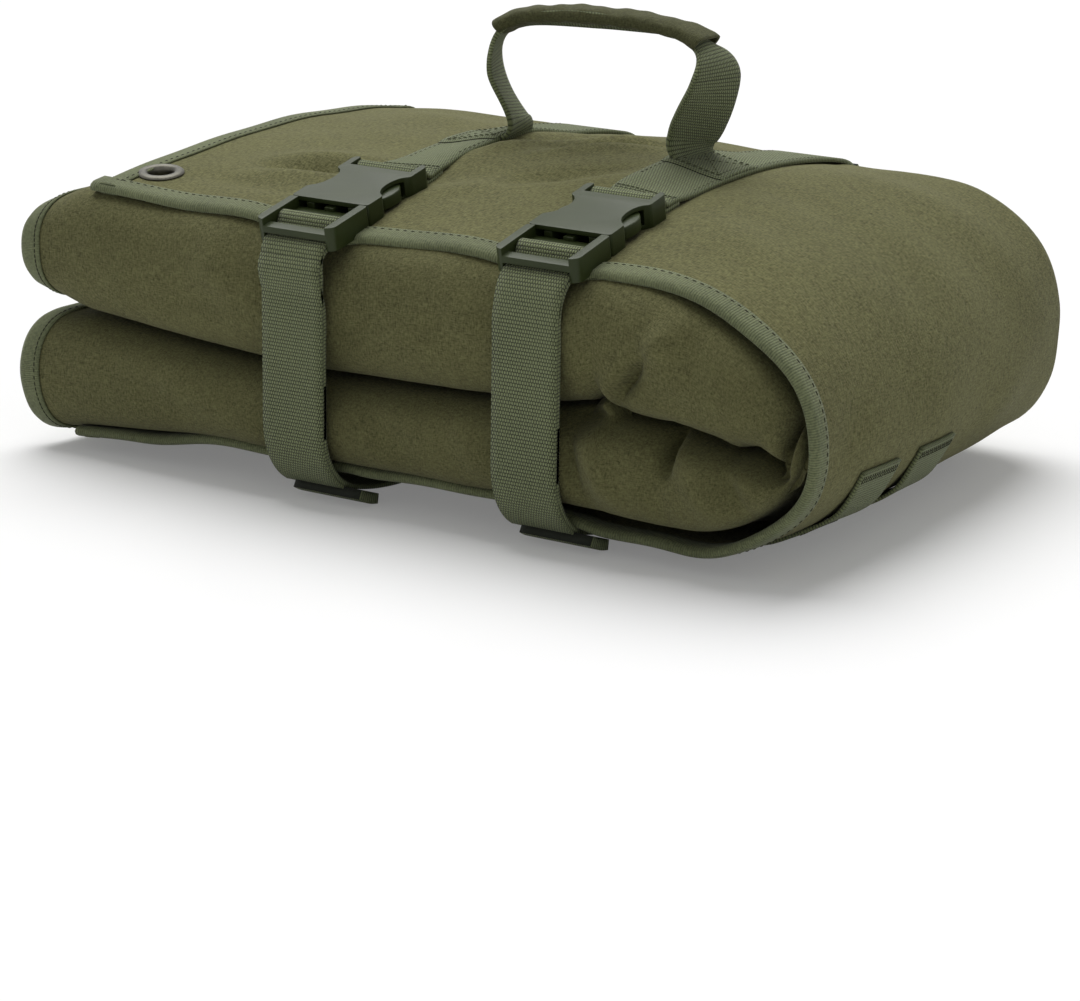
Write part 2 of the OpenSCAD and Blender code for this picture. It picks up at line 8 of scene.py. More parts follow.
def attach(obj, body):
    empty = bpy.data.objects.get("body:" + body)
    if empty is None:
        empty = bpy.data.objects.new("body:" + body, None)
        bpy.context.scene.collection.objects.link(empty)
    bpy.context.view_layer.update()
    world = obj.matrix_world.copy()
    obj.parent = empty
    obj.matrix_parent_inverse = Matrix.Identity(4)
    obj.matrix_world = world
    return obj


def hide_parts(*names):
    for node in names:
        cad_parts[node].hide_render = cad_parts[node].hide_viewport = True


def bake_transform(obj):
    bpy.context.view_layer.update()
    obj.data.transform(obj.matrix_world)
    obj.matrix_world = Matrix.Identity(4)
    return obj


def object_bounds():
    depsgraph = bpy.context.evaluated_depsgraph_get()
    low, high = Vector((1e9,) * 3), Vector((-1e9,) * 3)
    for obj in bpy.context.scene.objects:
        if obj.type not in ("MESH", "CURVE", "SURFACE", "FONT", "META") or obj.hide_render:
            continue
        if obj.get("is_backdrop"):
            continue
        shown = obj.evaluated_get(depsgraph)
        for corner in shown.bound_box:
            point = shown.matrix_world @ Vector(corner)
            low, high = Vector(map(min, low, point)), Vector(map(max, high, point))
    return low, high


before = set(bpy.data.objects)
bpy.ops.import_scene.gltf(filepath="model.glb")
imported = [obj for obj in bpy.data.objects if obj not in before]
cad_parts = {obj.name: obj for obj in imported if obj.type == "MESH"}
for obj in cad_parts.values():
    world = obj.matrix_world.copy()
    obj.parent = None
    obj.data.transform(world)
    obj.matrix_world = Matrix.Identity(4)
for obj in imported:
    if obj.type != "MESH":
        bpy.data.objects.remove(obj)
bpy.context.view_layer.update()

# Lengths are in millimetres until a mesh is written
MM = 0.001
# Depth of the bundle's own middle in the frame
SHIFT_Y = 0.85
# Open left end of the rolls, and of the flap on the top and on the underside
LEFT_END = -160.0
FLAP_LEFT, FLAP_BASE_LEFT = -135.0, -145.0
# Depth of the flap's front edge, of its highest line and of the start of the back bend
FLAP_FRONT = -97.0
CROWN_Y = 15.0
BACK_BEND = 84.0
# Heights of the rolls' top, of their underside, of the spine's middle and of the gap between them
TOP = 106.4
BASE = 6.9
SPINE_Z = 46.9
GAP_Z = 52.4
# Start and reach of the spine's upper and lower round
SPINE_TOP_X, SPINE_TOP_RUN = 66.5, 90.0
SPINE_BASE_X, SPINE_BASE_RUN = 106.5, 50.0
# Place in side view where the roll's upper half meets its lower half
SPINE_TIP = (156.5, 44.0)
# The flap's outer face above the rolls, and its thickness
FLAP_OUT = 3.5
FLAP_WALL = 2.0
# Webbing, places of the straps, and width of the binding tape
WEB_W, WEB_T = 25.0, 1.6
STRAPS = {"left": -39.0, "right": 55.0}
BIND_W = 7.4


# Camera

def look_from(place, azimuth, elevation, roll, lens):
    a, e, r = (math.radians(v) for v in (azimuth, elevation, roll))
    back = Vector((math.sin(a) * math.cos(e), -math.cos(a) * math.cos(e), math.sin(e)))
    right = (-back).cross(Vector((0, 0, 1))).normalized()
    up = right.cross(-back)
    turned = right * math.cos(r) + up * math.sin(r)
    raised = up * math.cos(r) - right * math.sin(r)
    data = bpy.data.cameras.new("camera")
    data.lens, data.sensor_width = lens, 36.0
    cam = bpy.data.objects.new("camera", data)
    cam.matrix_world = Matrix.Translation(place) @ Matrix((turned, raised, back)).transposed().to_4x4()
    bpy.context.scene.collection.objects.link(cam)
    bpy.context.scene.camera = cam


look_from((0.610636, -0.993830, 0.333767), 31.86411, 16.75347, 0.89446, 109.5566)


# Materials

class Wire:
    """One value in a material, combined with others by Python's own operators."""

    def __init__(self, finish, socket):
        self.finish, self.socket = finish, socket

    def _op(self, operation, a, b=None):
        fed = {0: a} if b is None else {0: a, 1: b}
        return self.finish.node("Math", {"operation": operation}, fed)

    def __add__(self, other):
        return self._op("ADD", self, other)

    def __sub__(self, other):
        return self._op("SUBTRACT", self, other)

    def __mul__(self, other):
        return self._op("MULTIPLY", self, other)

    def __radd__(self, other):
        return self._op("ADD", other, self)

    def sine(self):
        return self._op("SINE", self)

    def size(self):
        return self._op("ABSOLUTE", self)

    def floor(self):
        return self._op("FLOOR", self)

    def power(self, other):
        return self._op("POWER", self, other)

    def top(self, other):
        return self._op("MAXIMUM", self, other)


class Finish:
    """A material whose nodes are added one by one."""

    def __init__(self, name, **constants):
        self.material = bpy.data.materials.new(name)
        self.material.use_nodes = True
        self.tree = self.material.node_tree
        self.shader = self.tree.nodes["Principled BSDF"]
        for socket, value in constants.items():
            self.shader.inputs[socket.replace("_", " ")].default_value = value

    def node(self, kind, settings=None, fed=None, out=0):
        made = self.tree.nodes.new("ShaderNode" + kind)
        for key, value in (settings or {}).items():
            setattr(made, key, value)
        for key, value in (fed or {}).items():
            self.link(made.inputs[key], value)
        return Wire(self, made.outputs[out])

    def link(self, socket, value):
        if isinstance(value, Wire):
            self.tree.links.new(value.socket, socket)
        else:
            socket.default_value = value

    def set(self, socket, value):
        self.link(self.shader.inputs[socket], value)

    def place(self):
        return self.node("TexCoord", out="Object")

    def uv(self):
        parts = self.tree.nodes.new("ShaderNodeSeparateXYZ")
        self.link(parts.inputs[0], self.node("TexCoord", out="UV"))
        return Wire(self, parts.outputs[0]), Wire(self, parts.outputs[1])

    def noise(self, scale, detail=3.0, rough=0.55, vector=None):
        fed = {"Vector": vector or self.place(), "Scale": scale, "Detail": detail, "Roughness": rough}
        return self.node("TexNoise", None, fed)

    def mix(self, share, a, b):
        return self.node("Mix", {"data_type": "RGBA"}, {0: share, 6: a, 7: b}, out=2)

    def bump(self, height, strength, distance):
        self.set("Normal", self.node("Bump", None, {"Height": height, "Strength": strength,
                                                    "Distance": distance}))


def rgba(r, g, b):
    """Colour written as on a screen, 0 to 255, turned into light values."""
    shares = (v / 255 for v in (r, g, b))
    return tuple(v / 12.92 if v < 0.0404 else ((v + 0.055) / 1.055) ** 2.4 for v in shares) + (1.0,)


def canvas_finish(name, light, dark):
    f = Finish(name, Sheen_Weight=0.05, Sheen_Roughness=0.5, Specular_IOR_Level=0.15)
    u, v = f.uv()
    warp = f.noise(1.0, 2.0, vector=f.node("CombineXYZ", None, {0: u * 19.0, 1: v * 4.0}))
    weft = f.noise(1.0, 2.0, vector=f.node("CombineXYZ", None, {0: u * 4.0, 1: v * 19.0}))
    weave = warp * 0.5 + weft * 0.5
    speck = f.noise(1100.0, 2.0)
    slub = f.noise(170.0, 4.0)
    broad = f.noise(14.0, 3.0)
    tone = weave * 2.5 + speck * 1.0 + slub * 0.4 + broad * 0.4 - 1.65
    f.set("Base Color", f.mix(tone, dark, light))
    f.set("Roughness", 0.78 + slub * 0.16)
    f.bump(weave * 1.4 + speck * 0.8 + slub * 0.4, 0.6, 0.0005)
    return f.material


def webbing_finish(name, light, dark):
    f = Finish(name, Sheen_Weight=0.1, Sheen_Roughness=0.5, Specular_IOR_Level=0.3)
    u, v = f.uv()
    # Rows 1.25 mm apart along the strap, with ridges 1 mm apart across it, shifted from row to row
    row = v * (1 / 0.125)
    rib = (row * math.pi).sine().size()
    across = (u * (math.pi / 0.1) + row.floor() * (math.pi / 2) + math.pi / 4).sine().size()
    knot = rib.power(0.4) * (across.power(0.9) * 0.8 + 0.2)
    speck = f.noise(1400.0, 2.0)
    broad = f.noise(30.0, 3.0)
    tone = knot * 1.35 + speck * 0.45 + broad * 0.25 - 0.55
    f.set("Base Color", f.mix(tone, dark, light))
    f.set("Roughness", 0.72 + speck * 0.18)
    f.bump(knot + speck * 0.25, 0.7, 0.0007)
    return f.material


def tape_finish(name, light, dark):
    f = Finish(name, Sheen_Weight=0.1, Sheen_Roughness=0.5, Specular_IOR_Level=0.3)
    # Ribs 0.95 mm apart along the tape
    rib = (f.uv()[0] * (math.pi / 0.095)).sine().size()
    speck = f.noise(1000.0, 2.0)
    broad = f.noise(40.0, 3.0)
    tone = rib * 0.45 + speck * 1.1 + broad * 0.6 - 0.64
    f.set("Base Color", f.mix(tone, dark, light))
    f.set("Roughness", 0.74 + speck * 0.16)
    f.bump(rib + speck * 0.9, 0.5, 0.0004)
    return f.material


def plastic_finish():
    f = Finish("buckle_plastic", Specular_IOR_Level=0.2)
    grain = f.noise(2600.0, 2.0)
    broad = f.noise(60.0, 3.0)
    f.set("Base Color", f.mix(broad, rgba(40, 49, 22), rgba(54, 63, 33)))
    f.set("Roughness", 0.28 + grain * 0.08 + broad * 0.12)
    f.bump(grain, 0.08, 0.0002)
    return f.material


def nickel_finish():
    f = Finish("eyelet_nickel", Metallic=1.0)
    mark = f.noise(500.0, 4.0)
    f.set("Base Color", f.mix(mark, rgba(58, 57, 51), rgba(104, 102, 93)))
    f.set("Roughness", 0.3 + mark * 0.24)
    f.bump(mark, 0.05, 0.0002)
    return f.material


def thread_finish(name, colour, shade):
    f = Finish(name, Specular_IOR_Level=0.25)
    twist = f.noise(3000.0, 2.0)
    f.set("Base Color", f.mix(twist, shade, colour))
    f.set("Roughness", 0.65 + twist * 0.2)
    return f.material


CANVAS = canvas_finish("canvas_olive", rgba(126, 125, 84), rgba(71, 70, 41))
# A darker copy of the canvas for the rolls' fronts and spine: the darkening is painted shade
ROLLED_CANVAS_PAINTED_SHADE = canvas_finish("canvas_rolled_painted_shade", rgba(119, 118, 79), rgba(66, 65, 38))
INNER_CANVAS = canvas_finish("canvas_inside", rgba(114, 114, 80), rgba(72, 72, 47))
# A much darker copy of the canvas for the handle's sleeve: the darkening is painted shade, for its shaded
# front and underside
SLEEVE_CANVAS_PAINTED_SHADE = canvas_finish("canvas_sleeve_painted_shade", rgba(94, 95, 64), rgba(58, 59, 38))
WEBBING = webbing_finish("webbing_olive", rgba(136, 145, 104), rgba(22, 26, 15))
TAPE = tape_finish("binding_tape", rgba(128, 135, 97), rgba(70, 76, 51))
PLASTIC = plastic_finish()
NICKEL = nickel_finish()
DARK_THREAD = thread_finish("dark_thread", rgba(52, 53, 36), rgba(34, 35, 24))
OLIVE_THREAD = thread_finish("olive_thread", rgba(94, 99, 74), rgba(60, 64, 47))


# Mesh tools

def deselect():
    bpy.ops.object.select_all(action="DESELECT")


def pick(obj):
    deselect()
    obj.select_set(True)
    bpy.context.view_layer.objects.active = obj
    return obj


def named(name):
    obj = bpy.context.object
    obj.name = obj.data.name = name
    return obj


def apply_all(obj):
    pick(obj)
    for modifier in list(obj.modifiers):
        bpy.ops.object.modifier_apply(modifier=modifier.name)
    return obj


def points_of(obj):
    out = np.empty(len(obj.data.vertices) * 3)
    obj.data.vertices.foreach_get("co", out)
    return out.reshape(-1, 3)


def move_points(obj, points):
    obj.data.vertices.foreach_set("co", np.ascontiguousarray(points, dtype=np.float64).ravel())
    obj.data.update()


def mended(obj):
    """Merges points that meet, and turns the faces outwards."""
    pick(obj)
    bpy.ops.object.mode_set(mode="EDIT")
    bpy.ops.mesh.select_all(action="SELECT")
    bpy.ops.mesh.remove_doubles(threshold=0.02 * MM)
    bpy.ops.mesh.normals_make_consistent(inside=False)
    bpy.ops.object.mode_set(mode="OBJECT")
    return obj


def smooth(obj, angle=None):
    pick(obj)
    if angle is None:
        bpy.ops.object.shade_smooth()
    else:
        bpy.ops.object.shade_smooth_by_angle(angle=math.radians(angle))
    return obj


def paint(obj, material):
    obj.data.materials.clear()
    obj.data.materials.append(material)
    return obj


# Texture coordinates of the cloth are in centimetres
UV_SCALE = 0.1


def cloth_grid(name, columns, rows, place, size, wall=0.0, fill=None, offset=-1.0, measure=None):
    """A grid of cloth laid over a surface: place(u, v) gives its points, size its cut, wall its thickness.

    Where the grid isn't even, measure(u, v) gives the distances along the two threads of the cloth.
    """
    deselect()
    bpy.ops.mesh.primitive_grid_add(x_subdivisions=columns, y_subdivisions=rows, size=1)
    obj = named(name)
    flat = points_of(obj)
    u, v = flat[:, 0] + 0.5, flat[:, 1] + 0.5
    move_points(obj, place(u, v) * MM)
    mesh = obj.data
    corner = np.empty(len(mesh.loops), dtype=np.int32)
    mesh.loops.foreach_get("vertex_index", corner)
    across, along = measure(u, v) if measure else (u * size[0], v * size[1])
    uv = np.stack([across[corner], along[corner]], 1) * UV_SCALE
    mesh.uv_layers[0].data.foreach_set("uv", uv.ravel())
    if wall:
        m = obj.modifiers.new("wall", "SOLIDIFY")
        m.thickness, m.offset, m.use_even_offset = wall * MM, offset, False
        if fill is not None:
            group = obj.vertex_groups.new(name="fill")
            share = fill(u, v)
            for i, w in enumerate(share):
                group.add([i], float(w), "REPLACE")
            m.vertex_group = "fill"
        apply_all(obj)
    return smooth(obj)


def through(at, stations, values):
    """Smooth curve through a list of stations."""
    x, y = np.asarray(stations, float), np.asarray(values, float)
    slope = np.gradient(y, x)
    i = np.clip(np.searchsorted(x, at) - 1, 0, len(x) - 2)
    h = x[i + 1] - x[i]
    t = np.clip((at - x[i]) / h, 0, 1)
    a, b = (1 + 2 * t) * (1 - t) ** 2, t * t * (3 - 2 * t)
    c, d = t * (1 - t) ** 2, t * t * (t - 1)
    return a * y[i] + b * y[i + 1] + (c * slope[i] + d * slope[i + 1]) * h


def ease(x, low, high):
    """Smooth step from 0 to 1 between two places."""
    t = np.clip((x - low) / (high - low), 0, 1)
    return t * t * (3 - 2 * t)


def bow(value, power):
    """A power that keeps the sign, to make a round fuller or flatter."""
    return np.sign(value) * np.abs(value) ** power


# Side view of the folded mat: along the top, round the spine and back along the underside

class SideView:
    START = -170.0

    def __init__(self, offset):
        top, low = TOP + offset, BASE - offset
        up = np.linspace(math.pi / 2, 0, 160)
        down = np.linspace(0, -math.pi / 2, 120)[1:]
        line = np.vstack([
            np.stack([np.linspace(self.START, SPINE_TOP_X, 300)[:-1], np.full(299, top)], 1),
            np.stack([SPINE_TOP_X + (SPINE_TOP_RUN + offset) * np.cos(up),
                      SPINE_Z + (top - SPINE_Z) * np.sin(up)], 1),
            np.stack([SPINE_BASE_X + (SPINE_BASE_RUN + offset) * np.cos(down),
                      SPINE_Z + (SPINE_Z - low) * np.sin(down)], 1),
            np.stack([np.linspace(SPINE_BASE_X, self.START, 320)[1:], np.full(319, low)], 1)])
        step = np.linalg.norm(np.diff(line, axis=0), axis=1)
        along = np.concatenate([[0], np.cumsum(step)])
        self.along, self.length = along, along[-1]
        self.s = np.linspace(0, self.length, 2600)
        self.x = np.interp(self.s, along, line[:, 0])
        self.z = np.interp(self.s, along, line[:, 1])
        dx, dz = np.gradient(self.x, self.s), np.gradient(self.z, self.s)
        self.nx, self.nz = -dz / np.hypot(dx, dz), dx / np.hypot(dx, dz)

    def at(self, s):
        return [np.interp(s, self.s, v) for v in (self.x, self.z, self.nx, self.nz)]

    def top(self, x):
        return x - self.START

    def base(self, x):
        return self.length - (x - self.START)

    def near(self, x, z):
        return float(self.s[np.argmin((self.x - x) ** 2 + (self.z - z) ** 2)])

    def depth_to(self, crease):
        """Distance from each point of the side view in to a crease line."""
        key = np.asarray(crease, float)
        along = np.concatenate([[0], np.cumsum(np.linalg.norm(np.diff(key, axis=0), axis=1))])
        fine = np.linspace(0, along[-1], 700)
        line = np.stack([np.interp(fine, along, key[:, 0]), np.interp(fine, along, key[:, 1])], 1)
        return np.array([np.hypot(line[:, 0] - x, line[:, 1] - z).min() for x, z in zip(self.x, self.z)])

    def aim_at(self, crease, bend_x):
        """Distance and direction in to a crease line whose tip lies inside the spine, facing each point."""
        key = np.asarray(crease, float)
        turn, first, last = self.near(*SPINE_TIP), self.top(bend_x), self.base(bend_x)
        t = np.where(self.s < turn, (self.s - first) / (turn - first), (last - self.s) / (last - turn))
        t = np.clip(t, 0, 1)
        x = np.where(t > 0, bend_x + (key[-1, 0] - bend_x) * (1 - (1 - t) ** 1.8), self.x)
        dx, dz = self.x - x, self.z - np.interp(x, key[:, 0], key[:, 1])
        far = np.hypot(dx, dz)
        return far, dx / far, dz / far


FLAP = SideView(FLAP_OUT)
ROLL = SideView(0.0)

# How far the flap's front edge, middle and back lie inside the plain side view, along its length
FLAP_STATIONS = [
    # place along the flap, front, middle, back
    (FLAP.top(-170), 10.0, 4.0, 8.0),
    (FLAP.top(-135), 8.6, 1.6, 6.0),
    (FLAP.top(-112), 9.8, 0.2, 4.8),
    (FLAP.top(-85), 10.2, -1.2, 5.2),
    (FLAP.top(-60), 12.8, -1.0, 5.4),
    (FLAP.top(-39), 16.2, 0.2, 6.4),
    (FLAP.top(-18), 13.6, -1.8, 5.0),
    (FLAP.top(8), 11.0, -3.4, 4.0),
    (FLAP.top(34), 13.2, -1.8, 5.0),
    (FLAP.top(55), 16.2, 0.2, 6.4),
    (FLAP.near(78, 108), 13.2, -1.0, 6.4),
    (FLAP.near(98, 104), 9.2, -1.2, 3.4),
    (FLAP.near(120, 95), 6.8, -1.6, -0.8),
    (FLAP.near(142, 80), 5.4, -1.0, -1.8),
    (FLAP.near(156, 62), 4.4, 0.2, 2.2),
    (FLAP.near(160, 47), 4.4, 0.4, 4.2),
    (FLAP.near(155, 28), 4.0, 0.3, 3.2),
    (FLAP.near(142, 14), 3.6, 0.0, 1.4),
    (FLAP.near(122, 5), 4.2, 0.0, 2.4),
    (FLAP.base(100), 4.4, 0.0, 4.0),
    (FLAP.base(76), 5.0, 0.0, 5.5),
    (FLAP.base(55), 7.2, 0.0, 6.5),
    (FLAP.base(34), 9.6, -0.4, 6.0),
    (FLAP.base(8), 10.4, -0.6, 5.5),
    (FLAP.base(-18), 10.0, -0.4, 6.0),
    (FLAP.base(-39), 8.6, 0.0, 6.5),
    (FLAP.base(-60), 9.4, -0.3, 6.0),
    (FLAP.base(-95), 9.0, -0.4, 5.5),
    (FLAP.base(-120), 6.0, 0.0, 5.5),
    (FLAP.base(-135), 4.0, 0.2, 5.5),
    (FLAP.base(-170), 2.6, 0.4, 6.0),
]
BACK_CREASE = [(-172, GAP_Z), (80, GAP_Z), (108, 50.5), (126, 47)]
FRONT_CREASE = [(-172, 53.5), (-143, 52.4), (-106, 49.4), (-63, 46.2), (-36, 45.5), (24, 47.2), (60, 49.0),
                (70, 50.8), (77.5, 56.0), (81.5, 50.0), (90, 49.0), (100, 48.0), (110, 47.6), (118, 46.0),
                (126, 43.6), (134, 44.4), (139, 41.2), (143, 37.5)]
BACK_DEPTH = FLAP.depth_to(BACK_CREASE)
ROLL_DEPTH, ROLL_OUT_X, ROLL_OUT_Z = ROLL.aim_at(FRONT_CREASE, 90.0)


def fold_relief(x, y, folds):
    """Folds from one point to another, each with a height, a half width and, where crisp, a lower power."""
    rise = np.zeros_like(x)
    for (ax, ay), (bx, by), height, half, *power in folds:
        dx, dy = bx - ax, by - ay
        t = ((x - ax) * dx + (y - ay) * dy) / (dx * dx + dy * dy)
        inside = np.clip(t, 0, 1)
        away = np.hypot(x - ax - inside * dx, y - ay - inside * dy)
        swell = 0.35 + 0.65 * np.sin(math.pi * np.clip(inside, 0.04, 0.96))
        rise += height * np.exp(-(away / half) ** (power[0] if power else 2.0)) * swell
    return rise


# Folds of the flap in place along it and depth
TOP_FOLDS = [
    ((FLAP.top(-24), 4), (FLAP.top(24), 50), -4.6, 8.0),
    ((FLAP.top(-30), -27), (FLAP.top(-6), 12), 2.8, 5.5, 1.5),
    ((FLAP.top(-6), 12), (FLAP.top(28), 35), 3.2, 4.5, 1.4),
    ((FLAP.top(-8), -1), (FLAP.top(32), 27), -3.2, 3.0, 1.3),
    ((FLAP.top(-4), -14), (FLAP.top(34), 19), 2.6, 4.5, 1.5),
    ((FLAP.top(2), -44), (FLAP.top(36), -12), -2.6, 5.0, 1.5),
    ((FLAP.top(-26), -62), (FLAP.top(10), -40), 1.4, 7.0),
    ((FLAP.top(-57), -42), (FLAP.top(-90), -53), -4.6, 4.4, 1.4),
    ((FLAP.top(-58), -56), (FLAP.top(-92), -62), 1.6, 5.0),
    ((FLAP.top(-58), -32), (FLAP.top(-96), -44), 1.9, 6.0, 1.7),
    ((FLAP.top(-60), -74), (FLAP.top(-108), -70), -1.4, 6.0),
    ((FLAP.top(-56), -20), (FLAP.top(-98), 6), -1.3, 9.0),
    ((FLAP.top(-54), 30), (FLAP.top(-110), 62), 1.5, 13.0),
    ((FLAP.top(74), -40), (FLAP.near(128, 91), -66), 1.4, 12.0),
    ((FLAP.top(72), 4), (FLAP.near(134, 87), -4), -1.2, 13.0),
    ((FLAP.top(70), 44), (FLAP.near(140, 82), 62), 1.3, 14.0),
    ((FLAP.near(158, 38), -88), (FLAP.near(151, 62), -60), -1.1, 9.0),
    ((FLAP.near(152, 25), 30), (FLAP.near(158, 58), 70), 1.2, 14.0),
    ((FLAP.near(158, 44), -30), (FLAP.near(150, 72), 20), 0.9, 16.0),
]


# Rise of the flap where the handle pulls it most
PULL_RISE = 4.2


def drawn_up(x, y):
    """Rise of the top between the straps, where the handle's feet pull on them."""
    x, y = np.asarray(x, float), np.asarray(y, float)
    sag = 0.45 + 0.55 * np.clip(np.abs(x - 8.0) / 35.0, 0, 1) ** 2
    across = ease(x, -52.5, -26.5) * (1 - ease(x, 42.5, 68.5)) * sag
    return PULL_RISE * across * ease(y, -48, -22) * (1 - ease(y, 14, 56))


def flap_relief(s, y):
    rise = fold_relief(s, y, TOP_FOLDS)
    rise += 0.55 * np.sin(s / 23.0 + 1.2 * np.sin(y / 31.0)) * np.sin(y / 27.0 + 0.6)
    rise += 0.35 * np.sin(s / 11.0 - y / 17.0) * np.sin(y / 13.0 + s / 41.0)
    edge = np.exp(-(y - FLAP_FRONT) / 14.0)
    rise += edge * (0.8 * np.sin(s / 17.0 + 0.7) + 0.5 * np.sin(s / 7.3))
    calm = np.zeros_like(s)
    for x in STRAPS.values():
        for middle in (FLAP.top(x), FLAP.base(x)):
            calm = np.maximum(calm, np.exp(-((s - middle) / 16.0) ** 6))
    return rise * (1 - 0.92 * calm) + np.where(s < FLAP.top(75), drawn_up(s + FLAP.START, y), 0.0)


FLAP_KEYS = np.array([row[0] for row in FLAP_STATIONS])
FLAP_TABLE = np.array([row[1:] for row in FLAP_STATIONS])


def flap_inset(s, y):
    front, middle, back = (through(s, FLAP_KEYS, FLAP_TABLE[:, k]) for k in range(3))
    ahead = (front - middle) * (np.maximum(CROWN_Y - y, 0) / (CROWN_Y - FLAP_FRONT)) ** 2
    behind = (back - middle) * (np.maximum(y - CROWN_Y, 0) / (BACK_BEND - CROWN_Y)) ** 2
    return middle + ahead + behind


# The flap's turn round the back: its angle, the cloth that it takes up, its farthest depth and its fullness
BACK_ARC, BACK_CLOTH = 0.93 * math.pi, 62.0
BACK_Y, BACK_FULL = 107.0, 0.85
# How much farther back the turn starts at the spine, and the flap's cloth past the turn
SPINE_BEND, BACK_HEM = 8.0, 4.0


def flap_place(s, t):
    """Point of the flap's outer face; t is the depth behind its front edge, measured round the back fold."""
    s, t = np.broadcast_arrays(np.asarray(s, float), np.asarray(t, float))
    bend = BACK_BEND + SPINE_BEND * ease(np.interp(s, FLAP.s, FLAP.x), 60, 125)
    flat_run = bend - FLAP_FRONT
    turn = np.clip((t - flat_run) / BACK_CLOTH, 0, 1) * BACK_ARC
    level = np.minimum(FLAP_FRONT + t, bend)
    depth = np.interp(s, FLAP.s, BACK_DEPTH)
    start = flap_inset(s, level)
    half = (depth - 1.2 - start) / 2
    y = level + (BACK_Y - bend) * bow(np.sin(turn), BACK_FULL)
    inset = start + half * (1 - bow(np.cos(turn), BACK_FULL))
    inset = inset + np.minimum(np.maximum(t - flat_run, 0) * 0.16, 2.0) * np.sin(turn)
    rise = flap_relief(s, np.minimum(y, BACK_Y - 3.0)) * (1 - ease(turn, 1.2, 2.4))
    x, z, nx, nz = FLAP.at(s)
    lift = rise - inset
    return np.stack([x + nx * lift, y + SHIFT_Y, z + nz * lift], -1)


def skin(place, a, b, lift, step):
    """Point at a height above a surface given by place(a, b)."""
    a, b = np.broadcast_arrays(np.asarray(a, float), np.asarray(b, float))
    da = place(a + step[0], b) - place(a - step[0], b)
    db = place(a, b + step[1]) - place(a, b - step[1])
    n = np.cross(da, db)
    n /= np.linalg.norm(n, axis=-1, keepdims=True)
    return place(a, b) + n * np.broadcast_to(lift, a.shape)[..., None]


def flap_skin(s, t, lift):
    return skin(flap_place, s, t, lift, (0.6, 0.6))


FLAP_S0, FLAP_S1 = FLAP.top(FLAP_LEFT), FLAP.base(FLAP_BASE_LEFT)
FLAP_T1 = BACK_BEND - FLAP_FRONT + BACK_CLOTH + BACK_HEM

flap = cloth_grid(
    "cover_flap_cloth", 250, 100,
    lambda u, v: flap_place(FLAP_S0 + u * (FLAP_S1 - FLAP_S0), v * FLAP_T1),
    (FLAP_S1 - FLAP_S0, FLAP_T1), FLAP_WALL)
paint(flap, CANVAS)
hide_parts("cover_flap")
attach(flap, "root")

# Padded panel next to the flap: a fold along the front of each roll, running round the spine
ROLL_STATIONS = [
    # place along the roll, its front, gap under the flap's edge
    (ROLL.top(-170), -101.5, 1.0),
    (ROLL.top(-150), -104.0, 1.0),
    (ROLL.top(-100), -107.0, 1.2),
    (ROLL.top(-62), -107.0, 1.2),
    (ROLL.top(-39), -107.0, 1.0),
    (ROLL.top(-18), -107.0, 1.5),
    (ROLL.top(8), -108.0, 1.5),
    (ROLL.top(34), -107.0, 1.5),
    (ROLL.top(55), -107.0, 1.2),
    (ROLL.near(78, 105), -107.5, 1.4),
    (ROLL.near(100, 101), -108.0, 2.6),
    (ROLL.near(120, 92), -107.0, 5.0),
    (ROLL.near(138, 79), -104.0, 5.8),
    (ROLL.near(150, 64), -100.5, 5.4),
    (ROLL.near(156.5, 46.9), -98.5, 4.4),
    (ROLL.near(152, 29), -100.0, 5.4),
    (ROLL.near(140, 16), -103.5, 6.6),
    (ROLL.near(122, 8), -106.5, 6.0),
    (ROLL.base(100), -108.5, 4.6),
    (ROLL.base(76), -108.5, 5.0),
    (ROLL.base(55), -107.2, 4.0),
    (ROLL.base(34), -106.5, 1.6),
    (ROLL.base(8), -107.0, 1.5),
    (ROLL.base(-39), -107.0, 1.5),
    (ROLL.base(-100), -107.0, 1.2),
    (ROLL.base(-150), -104.0, 1.0),
    (ROLL.base(-170), -101.5, 1.0),
]
ROLL_KEYS = np.array([row[0] for row in ROLL_STATIONS])
ROLL_TABLE = np.array([row[1:] for row in ROLL_STATIONS])
